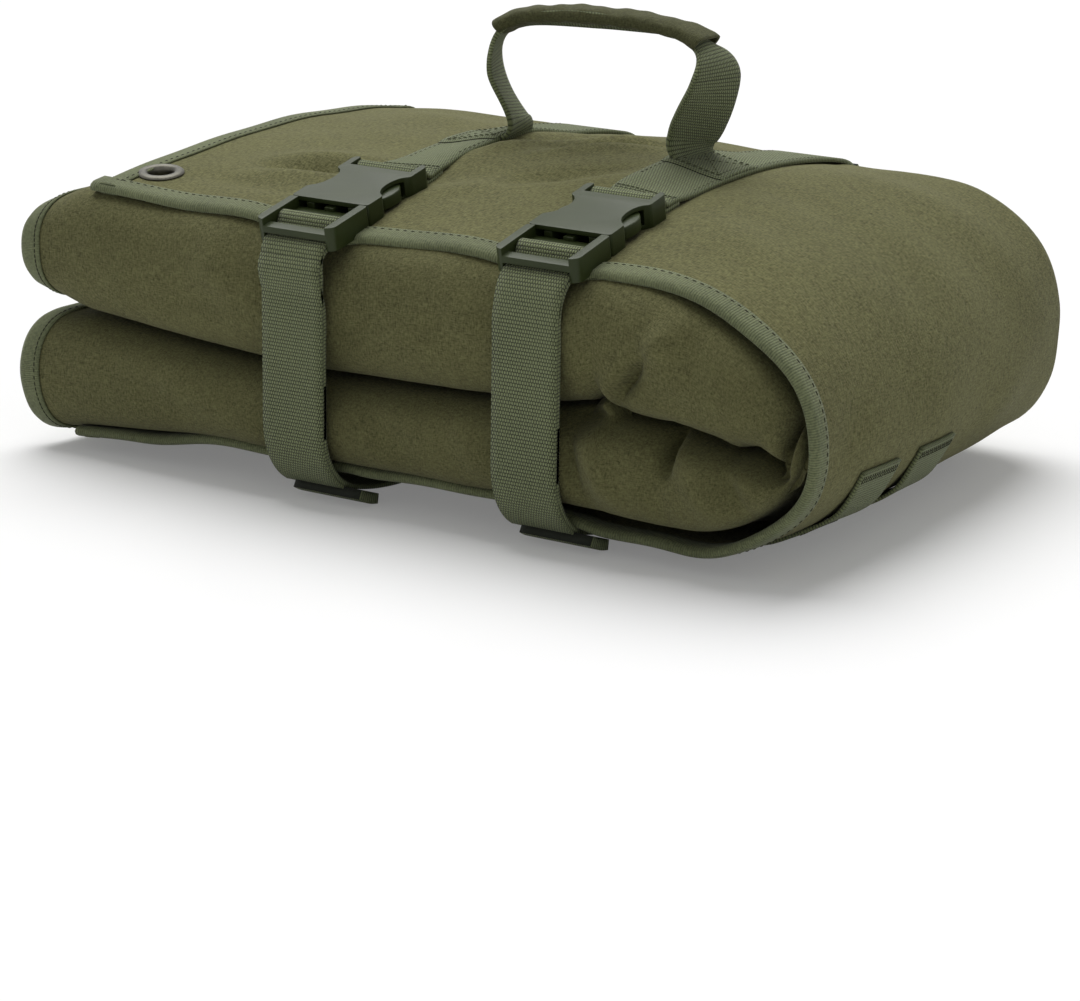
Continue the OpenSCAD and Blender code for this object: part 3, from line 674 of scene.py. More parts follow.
FRONT_FOLDS = [
    # ends of each fold seen from the front, height, half width and power
    ((148.5, 66), (143.5, 40), -16.0, 1.9, 1.5),
    ((151.5, 62), (147.5, 42), 1.8, 2.0),
    ((130, 45.5), (142.5, 39), -13.0, 2.6, 1.5),
    ((103, 48), (105.5, 36.5), -18.0, 2.5, 1.3),
    ((98, 46.5), (107, 46.5), -5.0, 2.6),
    ((62, 47.5), (82, 49), -14.0, 3.8, 1.7),
    ((96, 72.5), (84, 55.5), -9.0, 2.5, 1.2),
    ((90, 71), (80.5, 57.5), 3.2, 3.4),
    ((108, 85), (98, 73), 4.0, 5.0),
    ((102, 73), (93, 58), -1.4, 6.0),
    ((92, 55), (128, 52), 2.0, 4.0),
    ((110, 43.5), (131, 40), 6.5, 5.0),
    ((121, 46), (133, 27), -4.2, 3.4, 1.4),
    ((112, 44), (124, 22), 3.2, 5.0),
    ((136, 40), (139, 24), 2.0, 4.5),
    ((67, 44), (74, 22), -4.6, 3.4, 1.5),
    ((76, 43), (89, 20), 3.4, 5.0),
    ((97, 44), (107, 16), -2.4, 5.0),
    ((124, 88), (132, 62), 1.4, 7.0),
    ((112, 90), (117, 68), -1.2, 5.0),
    ((66, 92), (70, 66), 1.6, 5.0),
    ((-24, 94), (-54, 74), -2.4, 5.5),
    ((14, 92), (36, 68), 1.9, 7.0),
    ((0, 76), (-28, 60), -1.8, 6.0),
    ((-84, 94), (-66, 66), 1.8, 8.0),
    ((-122, 60), (-68, 70), -1.8, 6.0),
    ((-110, 42), (-66, 26), 1.9, 8.0),
    ((-100, 22), (-62, 36), -1.4, 6.0),
    ((-20, 46), (8, 20), -2.0, 7.0),
    ((20, 48), (38, 22), 1.9, 6.0),
]
# Shares of the grid where the front round starts and ends, and lengths of its legs and of the whole cloth
LEG_SHARE, OUTER_SHARE = 0.09, 0.88
ROLL_BACK, ROLL_CLOTH = 158.0, 426.0
# Depth where the front round starts
ROUND_Y = -80.0
# Thickness of the two padded panels, and the share of it that is left at the open end
PAD_WALL, SECOND_WALL = 10.0, 7.5
END_SHARE = 0.24


def roll_place(s, v, inset=0.0):
    """Point of the panel's outer face; v runs from its inner leg round the front fold to its outer leg."""
    s, v = np.broadcast_arrays(np.asarray(s, float), np.asarray(v, float))
    turn = math.pi * (1 - np.clip((v - LEG_SHARE) / (OUTER_SHARE - LEG_SHARE), 0, 1))
    behind = np.maximum((LEG_SHARE - v) / LEG_SHARE, (v - OUTER_SHARE) / (1 - OUTER_SHARE))
    level = ROUND_Y + np.maximum(behind, 0) * ROLL_BACK
    along = np.interp(s, ROLL.along, FLAP.along)
    x, z = ROLL.at(s)[:2]
    out_x, out_z = np.interp(s, ROLL.s, ROLL_OUT_X), np.interp(s, ROLL.s, ROLL_OUT_Z)
    end = ease(-x, 126, 162)
    upper = s < ROLL.length / 2
    inset = inset * (1 - 0.5 * end)
    front, gap = (through(s, ROLL_KEYS, ROLL_TABLE[:, k]) for k in range(2))
    outer = flap_inset(along, level) - flap_relief(along, level) - 0.9 + inset
    outer = outer + gap * (1 - ease(level, ROUND_Y, -45))
    # At the open end the upper roll gets thinner, the lower one drops and the gap between them opens
    outer = outer + ease(-x, 138, 170) * np.where(upper, 10.0, -4.0)
    inner = np.interp(s, ROLL.s, ROLL_DEPTH) - 0.7 - ease(-x, 138, 164) * np.where(upper, 6.0, 2.0) - inset
    inner = np.maximum(inner, outer + 1.0)
    lift = -(outer + inner) / 2 + (inner - outer) / 2 * bow(np.cos(turn), 0.9)
    power = np.where(turn > math.pi / 2, 0.5 + 0.2 * ease(x, 70, 120), 0.55)
    y = level - np.maximum(ROUND_Y - front - inset, 3.0) * bow(np.sin(turn), power)
    px, pz = x + out_x * lift - np.where(upper, 6.5, 8.5) * end * np.sin(turn), z + out_z * lift
    rise = fold_relief(px, pz, FRONT_FOLDS)
    rise += 0.5 * np.sin(px / 13.0 + 1.1 * np.sin(pz / 9.0)) * np.sin(pz / 8.0 + px / 37.0)
    rise += 0.16 * np.sin(px / 4.3 + pz / 7.1) * np.sin(pz / 3.7 - px / 9.0)
    y = y - rise * np.sin(turn) ** 0.6
    return np.stack([px, y + SHIFT_Y, pz], -1)


def roll_skin(s, v, lift, inset=0.0):
    return skin(lambda a, b: roll_place(a, b, inset), s, v, lift, (0.6, 0.004))


ROLL_S0, ROLL_S1 = ROLL.top(LEFT_END), ROLL.base(LEFT_END)
ROLL_SHARES = [0.0, LEG_SHARE, OUTER_SHARE, 1.0]
ROLL_LENGTHS = [0.0, ROLL_BACK, ROLL_CLOTH - ROLL_BACK, ROLL_CLOTH]


def roll_share(e):
    """Place round the front fold at a share of the cloth's true length."""
    return np.interp(np.asarray(e) * ROLL_CLOTH, ROLL_LENGTHS, ROLL_SHARES)


def roll_along(u):
    return np.interp(u, [0, 0.2, 0.8, 1], [ROLL_S0, ROLL.top(60), ROLL.base(60), ROLL_S1])


def end_fill(s):
    """Share of the padding, which thins out towards the open end."""
    return END_SHARE + (1 - END_SHARE) * ease(ROLL.at(s)[0], -157, -132)


def roll_fill(u, v):
    s = roll_along(u)
    depth = np.interp(s, ROLL.s, ROLL_DEPTH)
    return end_fill(s) * np.clip(depth / 34.0, 0.15, 1)


panel = cloth_grid(
    "rolled_panel", 400, 104, lambda u, v: roll_place(roll_along(u), v),
    (ROLL_S1 - ROLL_S0, ROLL_CLOTH), PAD_WALL, roll_fill,
    measure=lambda u, v: (roll_along(u) - ROLL_S0, np.interp(v, ROLL_SHARES, ROLL_LENGTHS)))
paint(panel, ROLLED_CANVAS_PAINTED_SHADE)
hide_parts("panel_a_upper", "panel_a_lower", "foam_a_upper", "foam_a_lower", "spine_fold")
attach(panel, "root")


# Layers inside each roll: how far each lies inside the panel, how far right they are modelled, thin cloth
CENTRE_INSET, SECOND_INSET, END_INSET = 10.8, 12.6, 20.6
INNER_LEFT, INNER_RIGHT = LEFT_END + 1, 40.0
THIN_WALL = 1.4


def inner_layer(name, upper, inset, wall, material, nodes, padded):
    start, stop = ROLL.top(INNER_LEFT), ROLL.top(INNER_RIGHT)
    if not upper:
        start, stop = ROLL.base(INNER_RIGHT), ROLL.base(INNER_LEFT)

    def swell(u, v):
        return end_fill(start + u * (stop - start))

    obj = cloth_grid(name, 70, 120, lambda u, v: roll_place(start + u * (stop - start), roll_share(v), inset),
                     (stop - start, ROLL_CLOTH), wall, swell if padded else None)
    paint(obj, material)
    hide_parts(*nodes)
    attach(obj, "root")
    if padded:
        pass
    else:
        (stop - start) * MM
    return obj


end_flaps = []
for word, upper in (("upper", True), ("lower", False)):
    inner_layer("centre_panel_cloth_" + word, upper, CENTRE_INSET, THIN_WALL, INNER_CANVAS,
                ["centre_panel_" + word], False)
    inner_layer("second_panel_" + word, upper, SECOND_INSET, SECOND_WALL, CANVAS,
                ["panel_b_" + word, "foam_b_" + word], True)
    end_flaps.append(inner_layer("end_flap_cloth_" + word, upper, END_INSET, THIN_WALL, INNER_CANVAS,
                                 ["end_flap_" + word], False))


# Binding tapes, folded over the cut edges

def tape(name, skin_at, edge, length, steps, thick, width=BIND_W):
    """Tape round an edge: edge(e, w) is the place at share e of its length and w millimetres in from it."""
    inner = [(width, -thick - 0.05), (width - 0.4, -thick - 0.45), (width * 0.6, -thick - 0.42),
             (width * 0.25, -thick - 0.42), (0.8, -thick - 0.4), (-0.5, -thick * 0.9)]
    turn = [(-0.9, -thick * 0.5)]
    outer = [(-0.5, -thick * 0.1), (0.8, 0.38), (width * 0.25, 0.42), (width * 0.6, 0.42),
             (width - 0.4, 0.4), (width, 0.04)]
    cross = np.array(inner + turn + outer)
    index = np.arange(len(cross)) / (len(cross) - 1)

    def place(u, v):
        w, lift = np.interp(v, index, cross[:, 0]), np.interp(v, index, cross[:, 1])
        return skin_at(*edge(u, w), lift)

    obj = cloth_grid(name, steps, len(cross) - 1, place, (length, 24.0), 0.5, None, 1.0)
    paint(obj, TAPE)
    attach(obj, "root")
    return obj


front_tape = tape(
    "flap_front_binding", flap_skin,
    lambda e, w: (FLAP_S0 - 3.0 + e * (FLAP_S1 - FLAP_S0 + 6.0), w), FLAP_S1 - FLAP_S0, 260, FLAP_WALL)
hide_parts("cover_binding")
end_run = 0.97 * FLAP_T1
tape("flap_top_end_binding", flap_skin,
     lambda e, w: (FLAP_S0 + w, end_run * (1 - e)), FLAP_T1, 96, FLAP_WALL)
tape("flap_base_end_binding", flap_skin,
     lambda e, w: (FLAP_S1 - w, end_run * e), FLAP_T1, 96, FLAP_WALL)
pad_edge, second_edge = PAD_WALL * END_SHARE, SECOND_WALL * END_SHARE
upper_tape = tape(
    "roll_end_binding_upper", roll_skin,
    lambda e, w: (ROLL_S0 + w, roll_share(0.996 - 0.992 * e)), ROLL_CLOTH, 200, pad_edge)
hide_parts("roll_binding_upper")
lower_tape = tape(
    "roll_end_binding_lower", roll_skin,
    lambda e, w: (ROLL_S1 - w, roll_share(0.004 + 0.992 * e)), ROLL_CLOTH, 200, pad_edge)
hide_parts("roll_binding_lower")
INNER_BIND_W = 9.0
for word, inset, wall in (("centre", CENTRE_INSET, THIN_WALL), ("second", SECOND_INSET, second_edge),
                          ("end", END_INSET, THIN_WALL)):
    def layer_skin(s, v, lift):
        return roll_skin(s, v, lift, inset)

    tape(word + "_binding_upper", layer_skin,
         lambda e, w: (ROLL.top(INNER_LEFT) + w, roll_share(0.997 - 0.994 * e)),
         ROLL_CLOTH, 160, wall, INNER_BIND_W)
    tape(word + "_binding_lower", layer_skin,
         lambda e, w: (ROLL.base(INNER_LEFT) - w, roll_share(0.003 + 0.994 * e)),
         ROLL_CLOTH, 160, wall, INNER_BIND_W)


# Stitches

def one_stitch():
    """A stitch of thread: a short bead, thinner and lower towards its ends."""
    deselect()
    bpy.ops.mesh.primitive_uv_sphere_add(segments=8, ring_count=6, radius=1.0)
    obj = named("stitch_master")
    bpy.ops.object.mode_set(mode="EDIT")
    bpy.ops.mesh.select_all(action="SELECT")
    bpy.ops.transform.rotate(value=math.pi / 2, orient_axis="Y", center_override=(0, 0, 0))
    bpy.ops.transform.resize(value=(1.0, 0.27, 0.24), center_override=(0, 0, 0))
    bpy.ops.object.mode_set(mode="OBJECT")
    points = points_of(obj)
    points[:, 2] -= 0.22 * points[:, 0] ** 2
    faces = [tuple(p.vertices) for p in obj.data.polygons]
    bpy.data.objects.remove(obj)
    return points, faces


STITCH, STITCH_FACES = one_stitch()


def seam(name, at, ahead, normal, half=1.05, thread=DARK_THREAD):
    """A row of stitches: their places, directions and the surface's normals."""
    at, ahead, normal = (np.asarray(v, float) for v in (at, ahead, normal))
    ahead = ahead / np.linalg.norm(ahead, axis=1, keepdims=True)
    side = np.cross(normal, ahead)
    side /= np.linalg.norm(side, axis=1, keepdims=True)
    up = np.cross(ahead, side)
    shape = STITCH * np.array([half, 1.0, 1.0])
    points = (at[:, None] + shape[None, :, :1] * ahead[:, None] + shape[None, :, 1:2] * side[:, None]
              + shape[None, :, 2:] * up[:, None]).reshape(-1, 3)
    faces = [tuple(i + k * len(STITCH) for i in face) for k in range(len(at)) for face in STITCH_FACES]
    mesh = bpy.data.meshes.new(name)
    mesh.from_pydata((points * MM).tolist(), [], faces)
    obj = bpy.data.objects.new(name, mesh)
    bpy.context.scene.collection.objects.link(obj)
    smooth(obj)
    paint(obj, thread)
    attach(obj, "root")
    return obj


def surface_seam(name, skin_at, a, b, lift):
    low, high = skin_at(a, b, lift), skin_at(a, b, lift + 1.0)
    return seam(name, low, np.gradient(low, axis=0), high - low)


# Spacing of the stitches, their distance in from a bound edge and their height on the tape
PITCH = 3.1
EDGE_SEAM = 5.9
ON_TAPE = 0.92


def spaced(start, stop):
    return np.linspace(start, stop, max(2, int(abs(stop - start) / PITCH)))


s_row = spaced(FLAP_S0 + 4, FLAP_S1 - 4)
surface_seam("flap_front_stitches", flap_skin, s_row, EDGE_SEAM, ON_TAPE)
t_row = spaced(6, FLAP_T1 - 12)
v_row = roll_share(np.linspace(0.02, 0.98, 132))
for name, skin_at, s, row in (
        ("flap_top_end_stitches", flap_skin, FLAP_S0 + EDGE_SEAM, t_row),
        ("flap_base_end_stitches", flap_skin, FLAP_S1 - EDGE_SEAM, t_row),
        ("roll_end_stitches_upper", roll_skin, ROLL_S0 + EDGE_SEAM, v_row),
        ("roll_end_stitches_lower", roll_skin, ROLL_S1 - EDGE_SEAM, v_row)):
    surface_seam(name, skin_at, s, row, ON_TAPE)
back_row = spaced(FLAP_S0 + 12, FLAP_S1 - 12)
for k, t in enumerate((FLAP_T1 - 33.0, FLAP_T1 - 25.0)):
    surface_seam("back_seam_stitches_%d" % (k + 1), flap_skin, back_row, t, 0.05)


# Straps of webbing

# Rounds that a strap follows at the back and front, the crown of the top and the flat of the underside
CORNER_Y, TOP_CORNER_Z, BASE_CORNER_Z, CORNER_R = 85.0, 80.91, 29.79, 19.0
CROWN_R, BASE_FLAT = 400.0, 66.0
# Middle of the webbing above the rolls: sewn anchor and free strap
ANCHOR_OUT, STRAP_OUT = 4.7, 6.1
# Stitches above the webbing's middle, and the doubled end in front of the strap
ON_WEB, TAIL_OUT = 0.85, 1.45
# Mouth of each buckle, its slope, its two bars and the webbing's line round a bar
MOUTH = {"left": (-88.9, 101.634), "right": (-84.5, 102.57)}
TILT_BACK, TILT_UP = np.array([0.978148, 0.207912]), np.array([-0.207912, 0.978148])
REAR_BAR, LOCK_BAR, BAR_R = 36.5, -10.6, 1.9
ROUND_BAR = 2.85


def crown_z(y, out):
    return TOP - CROWN_R + np.sqrt((CROWN_R + out) ** 2 - (np.asarray(y, float) - CROWN_Y) ** 2)


def arc(centre, radius, first, last, count):
    a = np.radians(np.linspace(first, last, count))
    return np.stack([centre[0] + radius * np.cos(a), centre[1] + radius * np.sin(a)], 1)


def round_path(points, count):
    """Evenly spaced points on a smooth line through the given ones."""
    p = np.asarray(points, float)
    along = np.concatenate([[0], np.cumsum(np.linalg.norm(np.diff(p, axis=0), axis=1))])
    fine = np.linspace(0, along[-1], 900)
    line = np.stack([through(fine, along, p[:, k]) for k in range(p.shape[1])], 1)
    step = np.concatenate([[0], np.cumsum(np.linalg.norm(np.diff(line, axis=0), axis=1))])
    even = np.linspace(0, step[-1], count)
    return np.stack([np.interp(even, step, line[:, k]) for k in range(p.shape[1])], 1), step[-1]


def ribbon(name, path, x, steps, width=WEB_W, wall=WEB_T):
    """Webbing along a line of depth and height points, with its width across the bundle."""
    line, length = round_path(path, 4 * steps)
    share = np.linspace(0, 1, 4 * steps)

    def place(u, v):
        across = x + (u - 0.5) * width
        back, up = (np.interp(v, share, line[:, k]) for k in range(2))
        up = up + np.where(up > TOP - 4, drawn_up(across, back), 0.0)
        return np.stack([across, back + SHIFT_Y, up], 1)

    obj = cloth_grid(name, 8, steps, place, (width, length), wall, None, 0.0)
    return paint(obj, WEBBING)


def in_buckle(side, back, up):
    """Depth and height of a point given in a buckle's own slope."""
    return np.array(MOUTH[side]) + back * TILT_BACK + up * TILT_UP


def web_stitches(name, side, marks, out):
    """Stitches on the sewn webbing: each mark is a place across, a place in depth and a direction."""
    x = STRAPS[side]
    at, ahead, normal = [], [], []
    for across, y, dx, dy in marks:
        at.append((x + across, y + SHIFT_Y, float(crown_z(y, out) + drawn_up(x + across, y))))
        slope = (CROWN_Y - y) / math.sqrt((CROWN_R + out) ** 2 - (y - CROWN_Y) ** 2)
        ahead.append((dx, dy, dy * slope))
        normal.append((0, -slope, 1))
    return seam(name, at, ahead, normal, 0.9, OLIVE_THREAD)


def on_crown(depths, lifts):
    """Points on the top at depths, each lifted above the anchor's own height."""
    return [(y, float(crown_z(y, ANCHOR_OUT + h))) for y, h in zip(depths, lifts)]


def sewn_anchor(side, x):
    """Webbing from under the buckle's rear bar, round it, along the top and into the back bend."""
    rear = in_buckle(side, REAR_BAR, 0)
    slope = math.degrees(math.atan2(TILT_BACK[1], TILT_BACK[0]))
    path = on_crown(np.linspace(rear[0] + 15, rear[0] + 7, 3), (0, 0, 0))
    path += arc(rear, ROUND_BAR, 273 + slope, 75 + slope, 12).tolist()
    path += on_crown(np.linspace(rear[0] + 8, rear[0] + 20, 4), (1.7, 1.7, 1.3, 0.6))
    path += on_crown(np.linspace(rear[0] + 27, CORNER_Y - 3, 12), np.zeros(12))
    path += arc((CORNER_Y, TOP_CORNER_Z), CORNER_R + ANCHOR_OUT - 0.3, 74, 24, 7).tolist()
    anchor = ribbon("sewn_anchor_" + side, path, x, 110)
    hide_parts("anchor_strap_" + side)
    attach(anchor, "root")
    marks = [(a, rear[0] + 12.4 + k, 1, 0) for k in (0, 1.5) for a in np.linspace(-11, 11, 13)]
    web_stitches("loop_tack_" + side, side, marks, ANCHOR_OUT + 2.5)
    rows = [(a, y, 0, 1) for a in (-10.6, 10.6) for y in np.arange(rear[0] + 29, 78, 3.0)]
    web_stitches("anchor_stitches_" + side, side, rows, ANCHOR_OUT + ON_WEB)


def free_strap(side, x):
    """Webbing sewn on at the back bend, down the back, under the base and up to the front."""
    r = CORNER_R + STRAP_OUT
    path = arc((CORNER_Y, TOP_CORNER_Z), r, 51, 0, 8).tolist()
    path += [(CORNER_Y + r, z) for z in np.linspace(TOP_CORNER_Z - 8, BASE_CORNER_Z + 8, 5)]
    path += arc((CORNER_Y, BASE_CORNER_Z), r, 0, -78, 10).tolist()
    path += [(y, BASE - STRAP_OUT + 0.02) for y in np.linspace(BASE_FLAT - 6, -BASE_FLAT + 6, 9)]
    path += arc((-CORNER_Y, BASE_CORNER_Z), r, -102, -172, 10).tolist()
    path += [(-CORNER_Y - r, z) for z in (34.0, 46.0)]
    strap = ribbon("free_strap_" + side, path, x, 230)
    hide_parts("strap_" + side)
    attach(strap, "root")
    at, normal = [], []
    for turn in np.radians((46, 30)):
        for across in np.linspace(-11, 11, 13):
            back, up = math.cos(turn), math.sin(turn)
            y, z = CORNER_Y + (r + ON_WEB) * back, TOP_CORNER_Z + (r + ON_WEB) * up
            at.append((x + across, y + SHIFT_Y, z))
            normal.append((0, back, up))
    seam("strap_tack_" + side, at, [(1, 0, 0)] * len(at), normal, 0.9, DARK_THREAD)


def strap_front(side, x):
    """The strap's end up the front, round the ladder lock's bar and down again, with its folded hem."""
    r = CORNER_R + STRAP_OUT
    path = [(-CORNER_Y - r, z) for z in (27.0, 40.0, 56.0, 72.0)]
    path += [tuple(in_buckle(side, b, u) + np.array((dy, 0))) for b, u, dy in
             ((-25.5, -8.5, -1.0), (-21.5, -4.4, 0), (-16, -3.5, 0), (-9, -3.6, 0))]
    path += [tuple(in_buckle(side, LOCK_BAR + ROUND_BAR * math.cos(a), ROUND_BAR * math.sin(a))) for a in
             np.radians([-50, -10, 35, 80, 125, 165])]
    path += [tuple(in_buckle(side, b, u)) for b, u in ((-15.2, -1.3), (-18.5, -1.85), (-22.0, -2.6))]
    path += [(-CORNER_Y - r - TAIL_OUT, z) for z in (82.0, 72.0, 56.0, 40.0, 30.0)]
    path += arc((-CORNER_Y, BASE_CORNER_Z), r + TAIL_OUT, 190, 240, 6).tolist()
    end = ribbon("strap_front_" + side, path, x, 190, WEB_W, 1.35)
    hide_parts("strap_end_" + side, "strap_tail_" + side)
    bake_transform(end)
    hem = arc((-CORNER_Y, BASE_CORNER_Z), r + 3.0, 238, 262, 6).tolist()
    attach(ribbon("strap_hem_" + side, hem, x + 6, 12, 28.0, 3.6), "root")


for side, x in STRAPS.items():
    sewn_anchor(side, x)
    free_strap(side, x)
    strap_front(side, x)


# Buckles

def plate(name, outline, low, high):
    """A flat plate of an outline, from one height to another."""
    deselect()
    bpy.ops.mesh.primitive_circle_add(vertices=len(outline), radius=1, fill_type="NGON")
    obj = named(name)
    flat = np.column_stack([np.asarray(outline, float), np.full(len(outline), 0.5 * (low + high))])
    move_points(obj, flat * MM)
    rise = obj.modifiers.new("rise", "SOLIDIFY")
    rise.thickness, rise.offset = (high - low) * MM, 0.0
    return mended(apply_all(obj))


def block(name, low, high):
    x0, y0, z0 = low
    x1, y1, z1 = high
    return plate(name, [(x0, y0), (x1, y0), (x1, y1), (x0, y1)], z0, z1)


def bar(name, half, y):
    """A round bar across a buckle, at a depth in it."""
    deselect()
    bpy.ops.mesh.primitive_cylinder_add(vertices=24, radius=BAR_R * MM, depth=2 * half * MM)
    obj = named(name)
    obj.data.transform(Matrix.Translation((0, y * MM, 0)) @ Matrix.Rotation(math.pi / 2, 4, "Y"))
    return obj


def combine(obj, other, how):
    m = obj.modifiers.new(how.lower(), "BOOLEAN")
    m.operation, m.object, m.solver = how, other, "EXACT"
    apply_all(obj)
    bpy.data.objects.remove(other)
    return obj


# Sharpest angle in degrees that is still shaded as smooth
SHARP = 38


def rounded(obj, width, segments=3, angle=32):
    m = obj.modifiers.new("edges", "BEVEL")
    m.width, m.segments, m.limit_method, m.angle_limit = width * MM, segments, "ANGLE", math.radians(angle)
    m.use_clamp_overlap = True
    apply_all(obj)
    return smooth(obj, SHARP)


def corner_run(points):
    """An outline whose corners are cut round; each point has its own radius."""
    out = []
    n = len(points)
    for i, (x, y, radius) in enumerate(points):
        p = np.array((x, y), float)
        if radius == 0:
            out.append(tuple(p))
            continue
        a, b = np.array(points[i - 1][:2], float), np.array(points[(i + 1) % n][:2], float)
        ua, ub = (a - p) / np.linalg.norm(a - p), (b - p) / np.linalg.norm(b - p)
        for t in np.linspace(0, 1, 6):
            q = (1 - t) ** 2 * (p + ua * radius) + 2 * t * (1 - t) * p + t * t * (p + ub * radius)
            out.append(tuple(q))
    return out


def mirrored(half):
    """A whole outline from its right half, listed from front to back."""
    return half + [(-x, y, r) for x, y, r in reversed(half)]


def to_buckle(obj, side):
    y, z = MOUTH[side]
    turn = Matrix.Rotation(math.asin(TILT_BACK[1]), 4, "X")
    obj.data.transform(Matrix.Translation((STRAPS[side] * MM, (y + SHIFT_Y) * MM, z * MM)) @ turn)
    obj.data.update()
    return obj


# Half the height of a buckle's case
CASE_HALF = 4.3


def socket_half():
    """Case of the buckle, with its side openings waisted in, its hollow and the bar for the anchor."""
    half = [(14.6, 0, 0), (16, 0.5, 0.8), (16, 9.2, 1.2), (13.2, 11.6, 1.5), (11.4, 15.5, 2.0),
            (11.2, 21.5, 2.5), (13.0, 25.6, 1.8), (15.6, 27.2, 1.0), (15.6, 36.6, 0.9), (14.6, 38.2, 0.7),
            (12.9, 38.2, 0.6), (12.9, 31.2, 0.6)]
    body = plate("socket", corner_run(mirrored(half)), -CASE_HALF, CASE_HALF)
    combine(body, block("hollow", (-13.5, -3, -2.7), (13.5, 27, 2.7)), "DIFFERENCE")
    rounded(body, 0.85, 4)
    combine(body, bar("rear_bar", 14.2, REAR_BAR), "UNION")
    return smooth(body, SHARP)


def plug_half():
    """Frame with the ladder lock's bar, lower at the front and at its root, and the centre guide."""
    half = [(13.6, -21.8, 0.8), (16.2, -20.4, 1.8), (16.2, -0.5, 0.9), (14.6, -0.3, 0)]
    body = plate("plug", corner_run(mirrored(half)), -CASE_HALF, CASE_HALF)
    combine(body, block("window", (-12.9, -17.4, -8), (12.9, -4.2, 8)), "DIFFERENCE")
    combine(body, block("strap_way", (-12.9, -24, -8), (12.9, -16, -0.7)), "DIFFERENCE")
    combine(body, block("bar_step", (-12.9, -24, 1.7), (12.9, -17.0, 8)), "DIFFERENCE")
    combine(body, block("root_step", (-12.9, -5, 0.4), (12.9, 1, 8)), "DIFFERENCE")
    rounded(body, 1.15, 4)
    combine(body, bar("lock_bar", 14.0, LOCK_BAR), "UNION")
    guide = [(2.0, -1.0, 0), (2.0, 20.0, 0), (1.2, 24.0, 0.6)]
    tongue = rounded(plate("guide", corner_run(mirrored(guide)), -1.8, 1.8), 0.35, 2)
    combine(body, tongue, "UNION")
    return smooth(body, SHARP)


def prong_half():
    """Right spring prong, with the shoulder that catches in the case."""
    outline = [(7, 0.4, 0), (10.4, 0.4, 0), (10.4, 10.2, 1.0), (14.6, 10.9, 1.4), (15.6, 16, 2.0),
               (15.2, 21, 2.0), (12, 25.5, 1.6), (7, 26, 0.8)]
    return rounded(plate("prong", corner_run(outline), -2.3, 2.3), 0.45)


def copy_of(obj, name, flip=False):
    new = obj.copy()
    new.data = obj.data.copy()
    new.name = new.data.name = name
    bpy.context.scene.collection.objects.link(new)
    if flip:
        new.data.transform(Matrix.Scale(-1, 4, (1, 0, 0)))
        new.data.flip_normals()
    return new


socket, plug, prong = socket_half(), plug_half(), prong_half()
for side in STRAPS:
    for master, name, node, body, flip in (
            (socket, "socket_" + side, "female_buckle_" + side, "root", False),
            (plug, "plug_" + side, "male_buckle_" + side, "plug_" + side, False),
            (prong, "spring_prong_%s_r" % side, "prong_%s_r" % side, "prong_%s_r" % side, False),
            (prong, "spring_prong_%s_l" % side, "prong_%s_l" % side, "prong_%s_l" % side, True)):
        piece = to_buckle(copy_of(master, name, flip), side)
        paint(piece, PLASTIC)
        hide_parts(node)
        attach(piece, body)
for master in (socket, plug, prong):
    bpy.data.objects.remove(master)


# Carry handle

# Middle between the feet, and the right foot, shoulder and crest of the loop seen from there
HANDLE = np.array((11.0, 5.85, 114.89))
FOOT, SHOULDER, CREST = np.array((35.0, 3.9)), np.array((46.0, 31.68)), np.array((0, 48.0))


def bezier(a, b, c, d, t):
    t = np.asarray(t)[:, None]
    return (1 - t) ** 3 * a + 3 * t * (1 - t) ** 2 * b + 3 * t * t * (1 - t) * c + t ** 3 * d


def handle_line():
    leg = bezier(FOOT, FOOT + (4.5, 10), SHOULDER - (0, 10), SHOULDER, np.linspace(0, 1, 14))
    grip = bezier(SHOULDER, SHOULDER + (0, 13), CREST + (33.1, -0.4), CREST, np.linspace(0, 1, 14))
    right = np.vstack([[FOOT + (11.0, -6.0), FOOT + (6.0, -4.3), FOOT + (1.8, -1.9)], leg[1:], grip[1:]])
    left = right[::-1][1:] * np.array((-1, 1))
    loop = np.vstack([right, left])
    loop[:, 0] += 3.0 * ease(loop[:, 1], 6, 48)
    return round_path(loop, 400)


LOOP, LOOP_LENGTH = handle_line()
SLEEVE_FROM, SLEEVE_TO = 0.285, 0.728


def loop_frame(share, twist):
    """Centre, width direction and face direction of the handle's webbing at a share of its length."""
    at = np.linspace(0, 1, len(LOOP))
    p = np.stack([np.interp(share, at, LOOP[:, k]) for k in range(2)], 1)
    e = 0.004
    q = np.stack([np.interp(np.minimum(share + e, 1), at, LOOP[:, k])
                  - np.interp(np.maximum(share - e, 0), at, LOOP[:, k]) for k in range(2)], 1)
    q /= np.linalg.norm(q, axis=1, keepdims=True)
    ahead = np.stack([q[:, 0], np.zeros(len(q)), q[:, 1]], 1)
    face = np.stack([q[:, 1], np.zeros(len(q)), -q[:, 0]], 1)
    wide = np.tile((0.0, 1.0, 0.0), (len(q), 1))
    c, s = np.cos(twist)[:, None], np.sin(twist)[:, None]
    lean = 5.0 * (1 - ease(p[:, 1], 2, 26))
    return (HANDLE + np.stack([p[:, 0], lean, p[:, 1]], 1), wide * c + face * s, face * c - wide * s)


def loop_twist(share):
    return np.radians(through(share, [0, 0.035, 0.065, 0.13, 0.2, 0.28, 0.72, 0.77, 0.83, 0.93, 0.965, 1.0],
                              [0, 0, 15, 21, 14, 0, 0, 21, 22, 14, 0, 0]))


